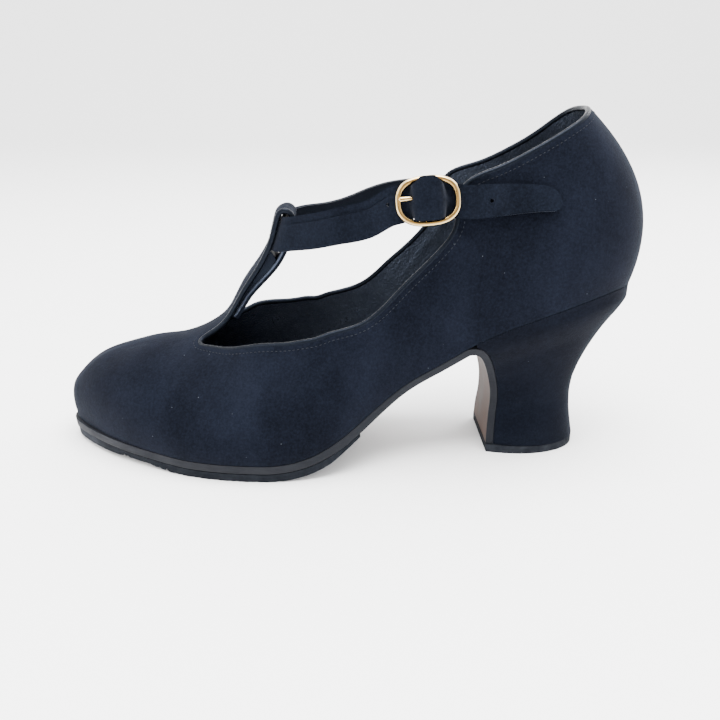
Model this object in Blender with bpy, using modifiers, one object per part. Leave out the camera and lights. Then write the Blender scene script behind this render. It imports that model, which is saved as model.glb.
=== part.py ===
"""A woman's black suede T-strap dance shoe with a curved heel, the left one of a pair.

Units are metres. +X runs from toe to heel, -Y is the outer side and +Z is up. The floor is Z = 0.
The shoe is drawn from the last: a plan outline with a height (the feather edge, where the upper meets
the sole) and, at each station along it, a profile that rises over the foot. A station is 0 at the
middle of the back and 1 at the tip of the toe.
"""
import math

import bmesh
import bpy
import numpy as np

LAST_LENGTH = 0.2269
LAST_BACK_X = 0.1105
BALL_WIDTH = 0.0835
HEEL_RISE = 0.0613
UPPER_HEIGHT = 0.0682

UPPER_WALL = 0.0020
BEAD_RADIUS = 0.0011
GAP = 0.0003
BAR_WIDTH = 0.0150

INSOLE_THICK = 0.0024
INSOLE_TOE_MARGIN = 0.0012
OUTSOLE_THICK = 0.0034
HALF_SOLE_THICK = 0.0034
EDGE_BEVEL = 0.0007
OUTSOLE_WAIST_THICK = 0.0027
TOE_MARGIN = 0.0014

HEEL_LENGTH = 0.0517
BREAST_REACH = 0.0155
TOP_PIECE_THICK = 0.0032
TOP_PIECE_SETBACK = 0.0169
TOP_PIECE_WIDTH = 0.0400
HEEL_LIP = 0.0045

STRAP_THICK = 0.0020
STRAP_WIDTH = 0.0138
RING_LENGTH = 0.0231
RING_HEIGHT = 0.0176
RING_WIRE_RADIUS = 0.0011
RING_TILT = math.radians(5.0)
BAR_WIRE_RADIUS = 0.0009
PRONG_RADIUS = 0.0008
TAB_WIDTH = 0.0090
TAB_THICK = 0.0011

# The last's bottom. Columns: station, outer and inner half widths as shares of BALL_WIDTH, and height
# as a share of HEEL_RISE. Heights below zero lie on the flat tread.
LAST_BOTTOM = [
    (0.000, 0.000, 0.000, 1.000),
    (0.060, 0.122, 0.122, 1.000),
    (0.120, 0.222, 0.222, 1.000),
    (0.200, 0.315, 0.315, 0.955),
    (0.280, 0.356, 0.353, 0.853),
    (0.360, 0.338, 0.330, 0.672),
    (0.395, 0.326, 0.307, 0.552),
    (0.430, 0.338, 0.300, 0.441),
    (0.465, 0.386, 0.312, 0.300),
    (0.500, 0.455, 0.342, 0.150),
    (0.535, 0.503, 0.383, 0.045),
    (0.570, 0.524, 0.425, 0.004),
    (0.610, 0.518, 0.458, -0.004),
    (0.660, 0.480, 0.478, -0.003),
    (0.720, 0.392, 0.468, 0.010),
    (0.800, 0.243, 0.408, 0.022),
    (0.880, 0.087, 0.318, 0.026),
    (0.940, 0.000, 0.215, 0.025),
    (1.000, -0.084, 0.084, 0.024),
]

# The profiles. Columns: station; the profile's top, as its place along LAST_LENGTH from the back, its
# half gap and centre as shares of BALL_WIDTH, and its height above the feather edge as a share of
# UPPER_HEIGHT; then the two handles that curve the profile, out and up from the feather edge, and out
# and down from the top, as shares of UPPER_HEIGHT.
PROFILES = [
    (0.000, 0.108, 0.000, 0.000, 1.000, 0.129, 0.411, 0.338, 0.293),
    (0.060, 0.111, 0.072, 0.000, 1.000, 0.129, 0.411, 0.311, 0.293),
    (0.120, 0.122, 0.144, 0.000, 1.000, 0.122, 0.396, 0.235, 0.315),
    (0.200, 0.154, 0.216, 0.000, 0.996, 0.095, 0.381, 0.132, 0.345),
    (0.280, 0.214, 0.257, 0.000, 0.956, 0.066, 0.367, 0.059, 0.352),
    (0.360, 0.311, 0.287, 0.000, 0.970, 0.059, 0.367, 0.044, 0.352),
    (0.430, 0.434, 0.240, 0.000, 1.123, 0.066, 0.367, 0.073, 0.352),
    (0.465, 0.513, 0.156, 0.000, 1.204, 0.081, 0.367, 0.132, 0.293),
    (0.500, 0.604, 0.000, 0.000, 1.236, 0.088, 0.352, 0.230, 0.020),
    (0.518, 0.623, 0.000, 0.002, 1.117, 0.088, 0.337, 0.240, 0.005),
    (0.535, 0.632, 0.000, 0.004, 1.067, 0.088, 0.323, 0.250, 0.000),
    (0.553, 0.651, 0.000, 0.006, 0.992, 0.084, 0.308, 0.257, 0.000),
    (0.570, 0.673, 0.000, 0.010, 0.903, 0.081, 0.293, 0.279, 0.000),
    (0.605, 0.706, 0.000, 0.018, 0.718, 0.073, 0.279, 0.308, 0.000),
    (0.640, 0.751, 0.000, 0.028, 0.604, 0.066, 0.264, 0.323, 0.000),
    (0.720, 0.834, 0.000, 0.042, 0.520, 0.059, 0.264, 0.323, 0.000),
    (0.800, 0.897, 0.000, 0.057, 0.466, 0.056, 0.249, 0.264, 0.000),
    (0.880, 0.923, 0.000, 0.066, 0.443, 0.060, 0.234, 0.204, 0.000),
    (1.000, 0.932, 0.000, 0.069, 0.433, 0.058, 0.236, 0.182, 0.000),
]

# The opening's edge, from the middle of the back to the foot of the T-bar. Columns: station, height
# as a share of the profile on the outer and on the inner side, and where its rib ends: 0 to 1 is a
# station on the feather edge, 1 to 2 rises up the middle of the toe, and from 2 on it runs back
# along the ridge.
OPENING = [
    (0.000, 0.955, 0.955, 0.000),
    (0.060, 0.950, 0.950, 0.050),
    (0.130, 0.915, 0.915, 0.120),
    (0.200, 0.895, 0.868, 0.180),
    (0.270, 0.905, 0.864, 0.240),
    (0.320, 0.920, 0.880, 0.284),
    (0.350, 0.918, 0.890, 0.312),
    (0.360, 0.885, 0.868, 0.326),
    (0.364, 0.800, 0.794, 0.341),
    (0.368, 0.700, 0.700, 0.358),
    (0.386, 0.600, 0.600, 0.384),
    (0.410, 0.518, 0.515, 0.414),
    (0.436, 0.450, 0.455, 0.446),
    (0.465, 0.396, 0.402, 0.480),
    (0.495, 0.376, 0.386, 0.512),
    (0.530, 0.431, 0.443, 0.555),
    (0.565, 0.527, 0.540, 0.602),
    (0.590, 0.606, 0.628, 0.655),
    (0.612, 0.685, 0.712, 0.730),
    (0.628, 0.750, 0.762, 0.820),
    (0.637, 0.800, 0.802, 0.930),
    (0.637, 0.835, 0.835, 1.350),
    (0.630, 0.858, 0.858, 1.850),
    (0.616, 0.868, 0.868, 2.200),
]

# The T-bar's edge goes on from there. Columns: station, and where its rib ends on the ridge.
T_BAR = [
    (0.598, 2.300),
    (0.578, 2.375),
    (0.555, 2.430),
    (0.532, 2.465),
    (0.508, 2.492),
]

# How flat the T-bar is across near its fold, and the heights and stations over which that comes in.
BAR_FLATNESS = 0.80
FLAT_FROM_HEIGHT = (0.66, 0.80)
FLAT_FROM_STATION = (0.585, 0.528)
BAR_BEHIND = 0.45

# The stations over which the profiles' upper handles come to follow the ridge's slope.
RIDGE_STATIONS = (0.43, 0.55)

# The T-bar folds over the strap and comes back behind itself. Columns: station, depth of its far face
# behind the T-bar's front, as a share of the depth at the fold.
T_BAR_RETURN = [
    (0.508, 1.00),
    (0.524, 1.10),
    (0.540, 1.05),
    (0.560, 0.82),
    (0.580, 0.64),
    (0.600, 0.60),
]

# The stations over which the sole's edge comes out past the upper, and its waist thickens.
MARGIN_STATIONS = (0.72, 0.86)
INSOLE_TOE_STATIONS = (0.85, 0.95)
WAIST_STATIONS = (0.44, 0.50)

# The heel block. Columns: level from the seat down, then how far back and sides have drawn in, as
# shares of the difference between seat and foot.
HEEL_LEVELS = [
    (0.00, 0.000, 0.00),
    (0.03, 0.005, 0.02),
    (0.07, 0.015, 0.06),
    (0.11, 0.085, 0.15),
    (0.16, 0.205, 0.30),
    (0.21, 0.340, 0.47),
    (0.28, 0.515, 0.70),
    (0.36, 0.690, 0.89),
    (0.45, 0.860, 1.07),
    (0.54, 1.000, 1.19),
    (0.63, 1.095, 1.26),
    (0.72, 1.128, 1.285),
    (0.81, 1.115, 1.18),
    (0.90, 1.070, 1.06),
    (1.00, 1.000, 1.00),
]
HEEL_FRONT_TAPER = 0.10

# The sole's flap down the front of the heel. Columns: share of BREAST_REACH behind the place where
# the sole leaves the last, and share of that place's height above the flap's lower end.
BREAST = [
    (0.187, 1.018),
    (0.368, 1.010),
    (0.523, 0.970),
    (0.640, 0.905),
    (0.755, 0.815),
    (0.865, 0.700),
    (0.950, 0.584),
    (0.993, 0.481),
    (0.994, 0.355),
    (0.974, 0.250),
    (0.950, 0.158),
    (0.929, 0.000),
]

# The half sole. Columns: station, and thickness as a share of HALF_SOLE_THICK.
HALF_SOLE = [
    (0.489, 0.30),
    (0.505, 0.50),
    (0.525, 0.85),
    (0.560, 1.00),
    (0.700, 1.00),
    (0.745, 0.70),
    (0.775, 0.78),
    (0.820, 0.95),
    (0.880, 1.00),
    (1.000, 1.00),
]

# How far the nets are divided.
HEEL_COLUMNS = 43
TOE_COLUMNS = 21
UPPER_ROWS = 8
ROW_CLOSENESS = 1.4

# Where the buckle hangs: the station and height on the quarter behind it, its clearance ahead of that
# place, its lift, and how square its oval is.
BUCKLE_WING = (0.360, 0.800)
BUCKLE_AHEAD = 0.0012
BUCKLE_LIFT = 0.0031
RING_SQUARENESS = 2.6

# The strap, from its stitched end on the inner quarter. Columns: station and height on the quarter.
STRAP_ANCHOR = [
    (0.305, 0.675),
    (0.335, 0.728),
    (0.360, 0.764),
]
# Its free runs, from the T-bar to the inner quarter and to the buckle. Columns: share of the straight
# way there, then how far it swings out and up from it, as shares of that way.
STRAP_INNER_RUN = [
    (0.832, 0.041, 0.014),
    (0.671, 0.089, 0.025),
    (0.510, 0.121, 0.014),
    (0.348, 0.143, -0.012),
    (0.202, 0.143, -0.010),
    (0.085, 0.128, 0.002),
]
STRAP_BAR_STATION = 0.5180
STRAP_FOOT_STATION = 0.5400
STRAP_OUTER_RUN = [
    (0.147, 0.167, -0.014),
    (0.344, 0.157, -0.030),
    (0.575, 0.119, -0.038),
    (0.806, 0.058, -0.040),
]
# Through the ring. Columns: place along the ring's half length, depth from under the ring (0) to
# over its bar (1), lift and half width as shares of STRAP_WIDTH, and how far the edges bend in, as a
# share of STRAP_THICK.
STRAP_IN_RING = [
    (-0.95, 0.00, -0.030, 0.500, 0.05),
    (-0.80, 0.00, -0.015, 0.495, 0.20),
    (-0.70, 0.07, 0.000, 0.455, 0.45),
    (-0.58, 0.25, 0.000, 0.415, 0.90),
    (-0.46, 0.56, -0.003, 0.402, 0.40),
    (-0.35, 0.86, 0.012, 0.465, 0.00),
    (-0.20, 0.97, 0.072, 0.535, 0.00),
    (0.00, 1.00, 0.076, 0.545, 0.00),
    (0.20, 0.97, 0.072, 0.535, 0.00),
    (0.35, 0.86, 0.012, 0.455, 0.10),
    (0.46, 0.56, -0.003, 0.386, 0.40),
    (0.58, 0.25, -0.015, 0.400, 0.90),
    (0.70, 0.07, -0.030, 0.430, 0.45),
    (0.80, 0.00, -0.050, 0.440, 0.15),
    (0.95, 0.00, -0.080, 0.440, 0.00),
]
# The tail on the outer quarter. Columns: station, height, half width as a share of STRAP_WIDTH, and 1
# where the tab lies below.
STRAP_TAIL = [
    (0.350, 0.806, 0.430, 1.0),
    (0.338, 0.787, 0.425, 1.0),
    (0.326, 0.766, 0.415, 1.0),
    (0.312, 0.741, 0.400, 0.3),
    (0.290, 0.700, 0.375, 0.0),
    (0.262, 0.645, 0.340, 0.0),
    (0.236, 0.590, 0.300, 0.0),
]
STRAP_END_RADIUS = 0.0042
STRAP_ROWS = (38, 34, 13)

# The prong, as shares of the way from the middle bar to its tip. Columns: share, and how far it has
# risen from the bar's middle to the ring's face.
PRONG = [
    (0.00, 0.10),
    (0.25, 0.36),
    (0.50, 0.62),
    (0.80, 0.92),
    (1.00, 1.00),
]
PRONG_LIFT = 0.0013

# The tab's hidden leg, as place along the strap and depth behind the ring, both as shares of the
# ring's half length, and its stitched leg, as station and height on the quarter.
TAB_HIDDEN_LEG = [
    (0.61, 0.520),
    (0.40, 0.470),
    (0.21, 0.364),
    (0.05, 0.225),
]
TAB_ON_QUARTER = [
    (0.352, 0.806),
    (0.345, 0.796),
    (0.337, 0.783),
]

LATERAL, MEDIAL = -1, 1


def natural_spline(xs, ys, flat_start=False, flat_end=False):
    """A cubic spline through the rows of a table, with zero slope at an end that is flat."""
    xs, ys = np.asarray(xs, float), np.asarray(ys, float)
    count, step = len(xs), np.diff(xs)
    matrix, right = np.zeros((count, count)), np.zeros(count)
    for i in range(1, count - 1):
        matrix[i, i - 1:i + 2] = step[i - 1], 2 * (step[i - 1] + step[i]), step[i]
        right[i] = 6 * ((ys[i + 1] - ys[i]) / step[i] - (ys[i] - ys[i - 1]) / step[i - 1])
    matrix[0, 0] = matrix[-1, -1] = 1
    if flat_start:
        matrix[0, :2] = 2 * step[0], step[0]
        right[0] = 6 * (ys[1] - ys[0]) / step[0]
    if flat_end:
        matrix[-1, -2:] = step[-1], 2 * step[-1]
        right[-1] = -6 * (ys[-1] - ys[-2]) / step[-1]
    bend = np.linalg.solve(matrix, right)

    def value(x):
        x = np.asarray(x, float)
        i = np.clip(np.searchsorted(xs, x, side="right") - 1, 0, count - 2)
        t, h = x - xs[i], step[i]
        slope = (ys[i + 1] - ys[i]) / h - h * (2 * bend[i] + bend[i + 1]) / 6
        return ys[i] + t * slope + t ** 2 * bend[i] / 2 + t ** 3 * (bend[i + 1] - bend[i]) / (6 * h)

    return value


def steady_spline(xs, ys):
    """A cubic spline that never passes beyond the values of the rows beside it."""
    xs, ys = np.asarray(xs, float), np.asarray(ys, float)
    step = np.diff(xs)
    rate = np.diff(ys) / step
    slope = np.concatenate([[rate[0]], np.zeros(len(xs) - 2), [rate[-1]]])
    for i in range(1, len(xs) - 1):
        if rate[i - 1] * rate[i] > 0:
            slope[i] = 2 * rate[i - 1] * rate[i] / (rate[i - 1] + rate[i])

    def value(x):
        x = np.asarray(x, float)
        i = np.clip(np.searchsorted(xs, x, side="right") - 1, 0, len(xs) - 2)
        h = step[i]
        t = (x - xs[i]) / h
        return ((1 + 2 * t) * (1 - t) ** 2 * ys[i] + t * (1 - t) ** 2 * h * slope[i]
                + t * t * (3 - 2 * t) * ys[i + 1] + t * t * (t - 1) * h * slope[i + 1])

    return value


def column(table, index):
    return [row[index] for row in table]


def unit(vectors):
    return vectors / np.linalg.norm(vectors, axis=-1, keepdims=True)


def run_length(points):
    """Distance along a line of points, from its start."""
    return np.concatenate([[0], np.cumsum(np.linalg.norm(np.diff(points, axis=0), axis=1))])


def stacked(x, y, z):
    return np.stack(np.broadcast_arrays(np.asarray(x, float), y, z), -1)


BALL_HEIGHT = HALF_SOLE_THICK + OUTSOLE_THICK + 2 * GAP
outer_width = natural_spline(column(LAST_BOTTOM, 0), column(LAST_BOTTOM, 1))
inner_width = natural_spline(column(LAST_BOTTOM, 0), column(LAST_BOTTOM, 2))
bottom_rise = natural_spline(column(LAST_BOTTOM, 0), column(LAST_BOTTOM, 3), True, True)
top_along = natural_spline(column(PROFILES, 0), column(PROFILES, 1), True, True)
top_half_gap = steady_spline(column(PROFILES, 0), column(PROFILES, 2))
(top_centre, top_height, low_out, low_up, high_out, high_down) = (
    natural_spline(column(PROFILES, 0), column(PROFILES, index), True, True) for index in range(3, 9))


def soft_step(value, low, high):
    share = np.clip((value - low) / (high - low), 0, 1)
    return share * share * (3 - 2 * share)


def feather_edge(station, side):
    """The line where the upper meets the sole."""
    station = np.asarray(station, float)
    x = LAST_BACK_X - LAST_LENGTH * (1 - np.cos(np.pi * station)) / 2
    half = inner_width(station) if side == MEDIAL else outer_width(station)
    z = BALL_HEIGHT + HEEL_RISE * np.maximum(bottom_rise(station), 0)
    return stacked(x, side * half * BALL_WIDTH, z)


def plan_normal(station, side):
    """The level direction that points out of the shoe at the feather edge."""
    reach = 0.001
    ahead = feather_edge(np.clip(station + reach, 0, 1), side)
    behind = feather_edge(np.clip(station - reach, 0, 1), side)
    run = ahead - behind
    out = side * np.stack([run[..., 1], -run[..., 0]], -1)
    out = unit(out)
    out = np.where((station < 1e-6)[..., None], [1.0, 0.0], out)
    return np.where((station > 1 - 1e-6)[..., None], [-1.0, 0.0], out)


def profile_top(station, side):
    x = LAST_BACK_X - LAST_LENGTH * top_along(station)
    y = BALL_WIDTH * (top_centre(station) + side * top_half_gap(station))
    z = feather_edge(station, side)[..., 2] + UPPER_HEIGHT * top_height(station)
    return stacked(x, y, z)


def last_surface(station, height, side):
    """The upper's outer face, where height is 0 on the feather edge and 1 at the profile's top."""
    station, height = np.broadcast_arrays(np.asarray(station, float), np.asarray(height, float))
    foot, out, top = feather_edge(station, side), plan_normal(station, side), profile_top(station, side)
    ridge_reach = 0.02
    ahead = profile_top(np.clip(station + ridge_reach, 0, 1), side)
    behind = profile_top(np.clip(station - ridge_reach, 0, 1), side)
    ridge_run = np.minimum(ahead[..., 0] - behind[..., 0], -1e-6)
    ridge_slope = soft_step(station, *RIDGE_STATIONS) * (ahead[..., 2] - behind[..., 2]) / ridge_run
    low = UPPER_HEIGHT * low_out(station)
    high = UPPER_HEIGHT * high_out(station)
    foot_handle = foot + stacked(out[..., 0] * low, out[..., 1] * low, UPPER_HEIGHT * low_up(station))
    fall = UPPER_HEIGHT * high_down(station) - out[..., 0] * high * ridge_slope
    top_handle = top + stacked(out[..., 0] * high, out[..., 1] * high, -fall)
    h = height[..., None]
    face = (foot * (1 - h) ** 3 + 3 * foot_handle * h * (1 - h) ** 2
            + 3 * top_handle * h * h * (1 - h) + top * h ** 3)
    flat = (BAR_FLATNESS * soft_step(height, *FLAT_FROM_HEIGHT) * soft_step(station, *FLAT_FROM_STATION)
            * (station > BAR_BEHIND))
    return face + (top - face) * flat[..., None] * [1, 0, 1]


def surface_normal(station, height, side):
    """The direction out of the upper's face."""
    reach = 0.002
    station, height = np.broadcast_arrays(np.asarray(station, float), np.asarray(height, float))
    low, high = np.clip(height - reach, 0, 1), np.clip(height + reach, 0, 1)
    back, front = np.clip(station - reach, 0, 1), np.clip(station + reach, 0, 1)
    up = last_surface(station, high, side) - last_surface(station, low, side)
    along = last_surface(front, height, side) - last_surface(back, height, side)
    return -side * unit(np.cross(up, along))


def bar_height(station):
    """Where the T-bar's edge lies on the profile, from its width."""
    return 1 - BAR_WIDTH / (6 * UPPER_HEIGHT * high_out(station))


def rib_end(reach):
    """The station and height where a rib ends, on the feather edge, the toe or the ridge."""
    reach = np.asarray(reach, float)
    station = np.where(reach < 1, reach, np.where(reach < 2, 1, 3 - reach))
    height = np.where(reach < 1, 0, np.where(reach < 2, reach - 1, 1))
    return station, height


def edge_columns(side):
    """Station, height and rib end of each rib, from the back to the T-bar's fold.

    The ribs are spaced evenly by the mean of their steps at both ends, and one ends at the tip of
    the toe.
    """
    stations = np.array(column(OPENING, 0) + column(T_BAR, 0))
    bar = bar_height(np.array(column(T_BAR, 0)))
    outer, inner = (np.concatenate([column(OPENING, index), bar]) for index in (1, 2))
    ends = np.array(column(OPENING, 3) + column(T_BAR, 1))
    fine = np.linspace(0, 1, 400)
    rough = run_length(last_surface(stations, outer, LATERAL))
    rough /= rough[-1]
    station, height, inner_height = (
        natural_spline(rough, values)(fine) for values in (stations, outer, inner))
    end = steady_spline(rough, ends)(fine)
    far_station, far_height = rib_end(end)
    near = run_length(last_surface(station, height, LATERAL))
    far = run_length(last_surface(far_station, far_height, LATERAL))
    length = near / near[-1] + 1.4 * far / far[-1]
    toe = np.interp(1.0, end, length)
    steps = np.concatenate([np.linspace(0, toe, HEEL_COLUMNS),
                            np.linspace(toe, length[-1], TOE_COLUMNS + 1)[1:]])
    ends = np.interp(steps, length, end)
    ends[HEEL_COLUMNS - 1] = 1.0
    ends[-1] = T_BAR[-1][1]
    heights = np.interp(steps, length, inner_height if side == MEDIAL else height)
    return np.interp(steps, length, station), heights, ends


def offset_on_face(side, stations, heights, distance):
    """Stations and heights of a line moved square to itself on the outer face, towards the foot."""
    reach = 0.001
    line = last_surface(stations, heights, side)
    by_station = (last_surface(stations + reach, heights, side) - line) / reach
    by_height = (line - last_surface(stations, heights - reach, side)) / reach
    way = unit(np.gradient(line, axis=0))
    across = -unit(np.cross(np.cross(by_station, by_height), way))
    matrix = np.stack([np.stack([(by_station * across).sum(1), (by_height * across).sum(1)], -1),
                       np.stack([(by_station * way).sum(1), (by_height * way).sum(1)], -1)], 1)
    goal = np.zeros((len(stations), 2, 1))
    goal[:, 0] = distance
    shift = np.linalg.solve(matrix, goal)[..., 0]
    shift[stations < 1e-6, 0] = 0
    return stations + shift[:, 0], heights + shift[:, 1]


def ribs(side, stations, heights, ends, start):
    """A net on the outer face: each rib runs from the edge, moved in by the start, to its end."""
    end_station, end_height = rib_end(ends)
    stations, heights = offset_on_face(side, stations, heights, start)
    share = 1 - (1 - np.linspace(0, 1, UPPER_ROWS + 1)) ** ROW_CLOSENESS
    station = stations[:, None] + (end_station - stations)[:, None] * share
    height = heights[:, None] + (end_height - heights)[:, None] * share
    return last_surface(station, height, side)


FOLD_DEPTH = 2 * UPPER_WALL + STRAP_THICK + 5 * GAP


def new_collection(name):
    collection = bpy.data.collections.new(name)
    bpy.context.scene.collection.children.link(collection)
    return collection


def plain_material(name, colour, roughness, metallic=0.0):
    material = bpy.data.materials.new(name)
    material.use_nodes = True
    shader = material.node_tree.nodes["Principled BSDF"]
    shader.inputs["Base Color"].default_value = (*colour, 1.0)
    shader.inputs["Roughness"].default_value = roughness
    shader.inputs["Metallic"].default_value = metallic
    return material


def add_mesh(name, points, faces, material, collection, closed=True):
    """A mesh object from points and faces, with its meeting points joined."""
    mesh = bpy.data.meshes.new(name)
    mesh.from_pydata([tuple(point) for point in points], [], faces)
    work = bmesh.new()
    work.from_mesh(mesh)
    bmesh.ops.remove_doubles(work, verts=work.verts, dist=1e-6)
    bmesh.ops.dissolve_degenerate(work, edges=work.edges, dist=1e-6)
    if closed:
        bmesh.ops.recalc_face_normals(work, faces=work.faces)
    work.to_mesh(mesh)
    work.free()
    mesh.materials.append(material)
    mesh.shade_smooth()
    mesh.set_sharp_from_angle(angle=math.radians(40))
    thing = bpy.data.objects.new(name, mesh)
    collection.objects.link(thing)
    return thing


def grid_faces(rows, columns, first=0, flip=False):
    """Faces of a net whose points run row by row."""
    faces = []
    for row in range(rows - 1):
        for col in range(columns - 1):
            a = first + row * columns + col
            face = (a, a + 1, a + columns + 1, a + columns)
            faces.append(face[::-1] if flip else face)
    return faces


def add_slab(name, top_left, top_right, base_left, base_right, across, material, collection):
    """A closed slab from a ladder of rungs: top and base are ruled from the left rail to the right."""
    share = np.linspace(0, 1, across + 1)[None, :, None]
    top = top_left[:, None] * (1 - share) + top_right[:, None] * share
    base = base_left[:, None] * (1 - share) + base_right[:, None] * share
    count, wide = top.shape[:2]
    points = np.concatenate([top.reshape(-1, 3), base.reshape(-1, 3)])
    below = count * wide
    faces = grid_faces(count, wide) + grid_faces(count, wide, below, flip=True)
    for row in range(count - 1):
        for col in (0, wide - 1):
            a, b = row * wide + col, (row + 1) * wide + col
            faces.append((a, b, b + below, a + below) if col == 0 else (b, a, a + below, b + below))
    for col in range(wide - 1):
        for row in (0, count - 1):
            a, b = row * wide + col, row * wide + col + 1
            faces.append((b, a, a + below, b + below) if row == 0 else (a, b, b + below, a + below))
    return add_mesh(name, points, faces, material, collection)


def add_tube(name, points, radius, material, collection, cyclic=False, resolution=2):
    """A wire or bead along a line of points."""
    curve = bpy.data.curves.new(name, "CURVE")
    curve.dimensions = "3D"
    curve.bevel_depth = radius
    curve.bevel_resolution = resolution
    curve.use_fill_caps = not cyclic
    spline = curve.splines.new("POLY")
    spline.points.add(len(points) - 1)
    for target, point in zip(spline.points, points):
        target.co = (*point, 1.0)
    spline.use_cyclic_u = cyclic
    curve.materials.append(material)
    thing = bpy.data.objects.new(name, curve)
    collection.objects.link(thing)
    return thing


def tube_to_mesh(tube):
    """The same tube as a mesh with its caps welded, ready for a Boolean."""
    evaluated = tube.evaluated_get(bpy.context.evaluated_depsgraph_get())
    mesh = bpy.data.meshes.new_from_object(evaluated)
    work = bmesh.new()
    work.from_mesh(mesh)
    bmesh.ops.remove_doubles(work, verts=work.verts, dist=1e-7)
    work.to_mesh(mesh)
    work.free()
    name, place, collection = tube.name, tube.matrix_world.copy(), tube.users_collection[0]
    bpy.data.objects.remove(tube)
    thing = bpy.data.objects.new(name, mesh)
    thing.matrix_world = place
    thing.name = name
    collection.objects.link(thing)
    return thing


def boolean(thing, cutter, operation):
    modifier = thing.modifiers.new(operation.title(), "BOOLEAN")
    modifier.operation = operation
    modifier.solver = "EXACT"
    modifier.object = cutter
    cutter.hide_render = True
    cutter.display_type = "WIRE"


def bar_row(station, edge_gap):
    """Points across the T-bar's front at a station, from its outer edge to its inner edge."""
    places = station + np.array([0.004, 0.0, -0.004])
    outer, inner = (ribs(side, places, bar_height(places), 3 - places, edge_gap)[1]
                    for side in (LATERAL, MEDIAL))
    return np.concatenate([outer, inner[::-1][1:]])


def bar_inward(station):
    """The level-sided direction behind the T-bar's front at a station."""
    near_ridge = 0.98
    both = (surface_normal(station, near_ridge, LATERAL) + surface_normal(station, near_ridge, MEDIAL))
    return -unit(both * [1.0, 0.0, 1.0])


def bar_up(station):
    """The direction up the T-bar at a station."""
    inward = bar_inward(station)
    return np.array([inward[2], 0.0, -inward[0]]) * -1.0


def fold_points(points, angle, radius):
    """Points carried from the T-bar's front round its fold by an angle, at a radius."""
    top_station = T_BAR[-1][0]
    inward, up = bar_inward(top_station), bar_up(top_station)
    middle = points + inward * FOLD_DEPTH / 2
    return middle + radius * (np.sin(angle) * up - np.cos(angle) * inward)


def bar_strip(edge_gap):
    """The fold over the strap and the return behind the T-bar, row by row from the top rib."""
    top = bar_row(T_BAR[-1][0], edge_gap)
    strip = [fold_points(top, angle, FOLD_DEPTH / 2) for angle in np.linspace(0, np.pi, 7)]
    for station, depth in T_BAR_RETURN[1:]:
        strip.append(bar_row(station, edge_gap) + bar_inward(station) * FOLD_DEPTH * depth)
    return np.array(strip)


def make_upper(parts, material):
    """Vamp, quarters and T-bar in one wall, open at the foot, beside the T-bar and below."""
    edge_gap = BEAD_RADIUS + 2 * GAP
    points, faces = [], []
    for side in (LATERAL, MEDIAL):
        net = ribs(side, *edge_columns(side), edge_gap)
        faces += grid_faces(len(net), UPPER_ROWS + 1, len(points), flip=side == LATERAL)
        points += list(net.reshape(-1, 3))
    strip = bar_strip(edge_gap)
    faces += grid_faces(len(strip), strip.shape[1], len(points), flip=True)
    points += list(strip.reshape(-1, 3))
    upper = add_mesh("upper", points, faces, material, parts, closed=False)
    wall = upper.modifiers.new("Wall", "SOLIDIFY")
    wall.thickness = UPPER_WALL
    wall.offset = -1
    return upper


def make_topline_piping(parts, material):
    """The leather bead along the opening and both edges of the T-bar, up and over its fold."""
    halves = []
    for side in (LATERAL, MEDIAL):
        stations, heights, _ = edge_columns(side)
        face = last_surface(stations, heights, side)
        bead = face - surface_normal(stations, heights, side) * UPPER_WALL / 2
        bend = [fold_points(face[-1], angle, (FOLD_DEPTH - UPPER_WALL) / 2)
                for angle in np.radians([0, 30, 60, 90])]
        halves.append(np.concatenate([bead[:-1], bend]))
    line = np.concatenate([halves[0][::-1], halves[1][1:]])
    return add_tube("topline_piping", line, BEAD_RADIUS, material, parts, resolution=1)


def make_insole(parts, material):
    """The sock that lies on the last's bottom inside the upper."""
    stations = np.linspace(0, 1, 37)
    inset = UPPER_WALL + 3 * GAP + INSOLE_TOE_MARGIN * np.interp(stations, INSOLE_TOE_STATIONS, (0, 1))
    rails = []
    for side in (LATERAL, MEDIAL):
        out = plan_normal(stations, side)
        rails.append(feather_edge(stations, side) - stacked(out[:, 0], out[:, 1], 0) * inset[:, None])
    lift = np.array([0, 0, GAP])
    top = [rail + lift + [0, 0, INSOLE_THICK] for rail in rails]
    base = [rail + lift for rail in rails]
    return add_slab("insole", top[0], top[1], base[0], base[1], 3, material, parts)


def station_at(x):
    """The station whose feather edge lies at a place along the shoe."""
    return math.acos(1 - 2 * (LAST_BACK_X - x) / LAST_LENGTH) / math.pi


def breast_line(rows):
    """The sole's upper face from where it leaves the last, down the heel's front, as x and z."""
    start_x = LAST_BACK_X - HEEL_LENGTH - BREAST_REACH
    start_z = float(feather_edge(station_at(start_x), LATERAL)[2]) - GAP
    before = feather_edge(station_at(start_x - GAP), LATERAL) - [0, 0, GAP]
    foot_z = TOP_PIECE_THICK + GAP
    points = [(before[0], before[2]), (start_x, start_z)]
    points += [(start_x + BREAST_REACH * back, foot_z + (start_z - foot_z) * up) for back, up in BREAST]
    points = np.array(points)
    length = run_length(points)
    steps = np.linspace(length[1], length[-1], rows)
    return np.stack([natural_spline(length, points[:, axis])(steps) for axis in (0, 1)], -1)


def line_normal(line):
    """Normals of a line of x and z, on its left."""
    way = unit(np.gradient(line, axis=0))
    return np.stack([-way[:, 1], way[:, 0]], -1)


def heel_front(z):
    """How far forward the heel block reaches at a height, behind the sole's flap."""
    line = breast_line(60)
    line = line + line_normal(line) * GAP
    lip_x = line[0, 0] + HEEL_LIP
    below = line[line[:, 0] > lip_x][::-1]
    return np.where(z < below[-1, 1], np.interp(z, below[:, 1], below[:, 0]), lip_x)


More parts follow.
